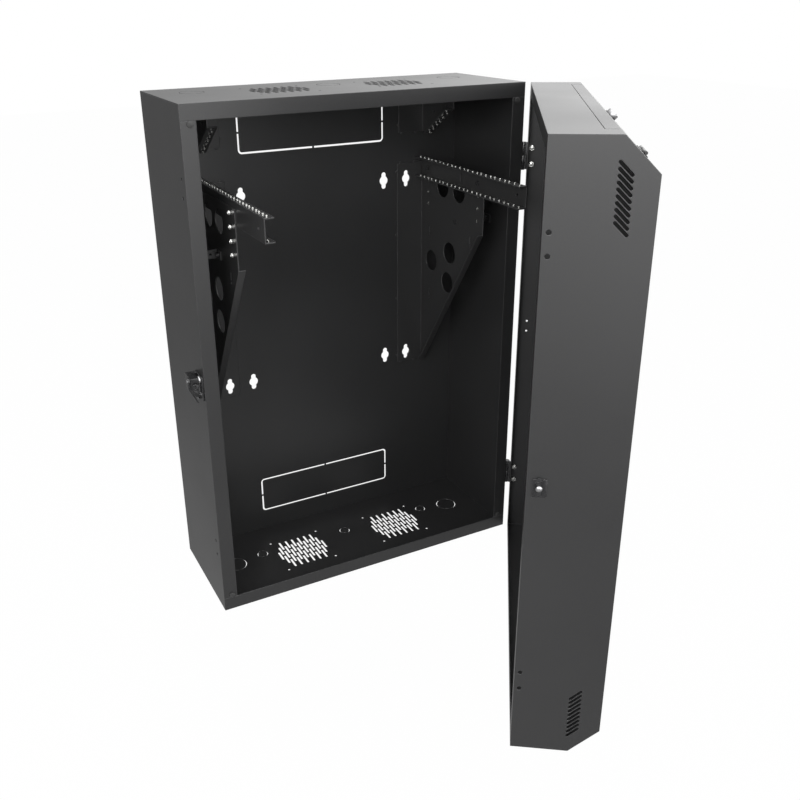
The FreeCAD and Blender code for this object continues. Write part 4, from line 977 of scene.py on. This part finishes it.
@dataclass(frozen=True)
class Surroundings:
    """White for the camera, soft light for matt faces and a shaded studio for reflections.

    Attributes:
        ambient: Strength of the soft light.
        behind: Reflected studio behind the cabinet, from left to right.
        ahead: Reflected studio ahead of the cabinet, from left to right.
        turn: Directions along y between which the one gives way to the other.
        above: Share of the overhead panel, from the floor up.
        overhead: Brightness of the overhead panel.
    """

    ambient: float = 0.5
    behind: Stops = (
        (-1.0, 0.2),
        (-0.25, 0.23),
        (0.0, 0.5),
        (0.27, 0.78),
        (0.40, 0.95),
        (0.51, 1.4),
        (0.64, 2.1),
        (1.0, 2.4),
    )
    ahead: Stops = ((-1.0, 2.0), (-0.3, 2.3), (0.4, 2.8), (1.0, 2.6))
    turn: Span = (0.25, -0.35)
    above: Stops = ((-1.0, 0.0), (0.45, 0.0), (0.8, 1.0), (1.0, 1.0))
    overhead: float = 1.7

    def build(self) -> None:
        """Make the world."""
        world = bpy.data.worlds.new("studio")
        bpy.context.scene.world = world
        world.use_nodes = True
        world.node_tree.nodes.clear()
        graph = NodeGraph(world.node_tree)
        axes = graph.axes(graph.add("ShaderNodeTexCoord").outputs["Generated"])
        behind = graph.ramp(axes["X"], self.behind)
        ahead = graph.ramp(axes["X"], self.ahead)
        around = graph.mix(Mix.VALUE, graph.remap(axes["Y"], self.turn), behind, ahead)
        shine = graph.mix(Mix.VALUE, graph.ramp(axes["Z"], self.above), around, self.overhead)
        reflection, soft, white = (graph.add("ShaderNodeBackground") for _ in range(3))
        for background in (reflection, soft, white):
            graph.feed(background.inputs["Color"], WHITE)
        graph.feed(reflection.inputs["Strength"], shine)
        graph.feed(soft.inputs["Strength"], self.ambient)
        path = graph.add("ShaderNodeLightPath").outputs
        glancing = graph.combine("MAXIMUM", path["Is Glossy Ray"], path["Is Transmission Ray"])
        unseen = graph.mix_shaders(glancing, soft, reflection)
        seen = graph.mix_shaders(path["Is Camera Ray"], unseen, white)
        graph.feed(graph.add("ShaderNodeOutputWorld").inputs["Surface"], seen.outputs[0])


@dataclass(frozen=True)
class Floor:
    """Pale floor that looks white to the camera and still takes a faint shadow.

    Attributes:
        level: Height of the floor, in metres.
        reach: Distance from its middle to its edges.
        colour: Its colour.
        roughness: Its roughness.
        share: Share of its white that takes no shadow for the camera.
        depth: Places along y between which its brightness in reflections falls.
        ahead: That brightness ahead of the cabinet.
        behind: That brightness behind the cabinet.
        far_depth: Places along y, far ahead, between which it grows again.
        far: How much brighter it is far ahead of the cabinet.
    """

    level: float = -0.95
    reach: float = 12.0
    colour: Colour = (0.9, 0.9, 0.9)
    roughness: float = 0.8
    share: float = 0.98
    depth: Span = (-0.6, 2.2)
    ahead: float = 0.55
    behind: float = 0.25
    far_depth: Span = (-2.8, -6.0)
    far: float = 1.5

    def material(self) -> bpy.types.Material:
        """Build the floor's material.

        Returns:
            The new material.
        """
        graph = FinishGraph.fresh("pale_floor")
        graph.shader.inputs["Base Color"].default_value = opaque(self.colour)
        graph.shader.inputs["Roughness"].default_value = self.roughness
        path = graph.add("ShaderNodeLightPath").outputs
        share = graph.combine("MULTIPLY", path["Is Camera Ray"], self.share)
        glow, mirrored = (graph.add("ShaderNodeEmission", strength=1.0) for _ in range(2))
        along = graph.axes(graph.add("ShaderNodeNewGeometry").outputs["Position"])["Y"]
        near = graph.remap(along, self.depth, self.ahead, self.behind)
        total = graph.combine("ADD", near, graph.remap(along, self.far_depth, 0.0, self.far))
        graph.feed(mirrored.inputs["Strength"], total)
        seen = graph.mix_shaders(share, graph.shader, glow)
        surface = graph.mix_shaders(path["Is Glossy Ray"], seen, mirrored)
        graph.feed(graph.tree.nodes["Material Output"].inputs["Surface"], surface.outputs[0])
        return graph.material

    def build(self) -> None:
        """Lay the floor."""
        work = bmesh.new()
        bmesh.ops.create_grid(work, x_segments=1, y_segments=1, size=self.reach)
        plane = link_object("floor", finished_mesh("floor", work))
        plane.location.z = self.level
        plane.data.materials.append(self.material())


@dataclass(frozen=True)
class Lamp:
    """Square soft lamp aimed at the cabinet.

    Attributes:
        name: Lamp name.
        place: Position in metres.
        size: Edge length in metres.
        power: Power in watts.
        aim: Point that it shines at.
    """

    name: str
    place: Triple
    size: float
    power: float
    aim: Triple = (0.05, -0.3, -0.1)

    def build(self) -> None:
        """Hang the lamp."""
        light = bpy.data.lights.new(self.name, "AREA")
        light.size = self.size
        light.energy = self.power
        lamp = link_object(self.name, light)
        lamp.location = self.place
        aim = Vector(self.aim) - Vector(self.place)
        lamp.rotation_euler = aim.to_track_quat("-Z", "Y").to_euler()


@dataclass(frozen=True)
class Viewpoint:
    """Camera at the photograph's viewpoint.

    Attributes:
        place: Position in metres.
        turn: Rotation about x, y and z, in degrees.
        sensor: Width of the sensor in millimetres.
        lens: Focal length in millimetres.
        shift: Shift of the picture across and up, as shares of its width.
    """

    place: Triple = (-0.69612, -1.62537, 0.54315)
    turn: Triple = (66.9359, 0.6435, -27.2508)
    sensor: float = 36.0
    lens: float = 40.43
    shift: tuple[float, float] = (0.02945, -0.03196)

    def build(self) -> None:
        """Place the camera and look through it."""
        data = bpy.data.cameras.new("camera")
        data.sensor_width = self.sensor
        data.lens = self.lens
        data.shift_x, data.shift_y = self.shift
        camera = link_object("camera", data)
        camera.location = self.place
        camera.rotation_euler = tuple(math.radians(angle) for angle in self.turn)
        bpy.context.scene.camera = camera


@dataclass(frozen=True)
class Studio:
    """World, floor, soft lamps and camera.

    Attributes:
        surroundings: The world.
        floor: The floor.
        lamps: One lamp overhead, one at the left, one in front.
        viewpoint: The camera.
    """

    surroundings: Surroundings = Surroundings()
    floor: Floor = Floor()
    lamps: tuple[Lamp, ...] = (
        Lamp("overhead", (0.0, -0.6, 2.6), size=2.2, power=40.0),
        Lamp("left", (-2.1, -2.2, 1.1), size=1.2, power=32.0),
        Lamp("front", (-0.7, -3.0, 1.0), size=1.6, power=26.0),
    )
    viewpoint: Viewpoint = Viewpoint()

    def build(self) -> None:
        """Set up surroundings, floor, lamps and camera."""
        for item in (self.surroundings, self.floor, *self.lamps, self.viewpoint):
            item.build()
            LOG.info("%s: %s", type(self).__name__, type(item).__name__)
        bpy.context.scene.view_settings.view_transform = "Standard"


def main() -> None:
    """Dress the cabinet, light it and point the camera at it."""
    logging.basicConfig(level=logging.INFO, format="%(name)s: %(message)s")
    wardrobe = Wardrobe()
    for group in (CabinetBody, RackSupports, Hinges, Latch, Door, Hatch):
        group(wardrobe).build()
    Studio().build()


if __name__ == "__main__":
    main()
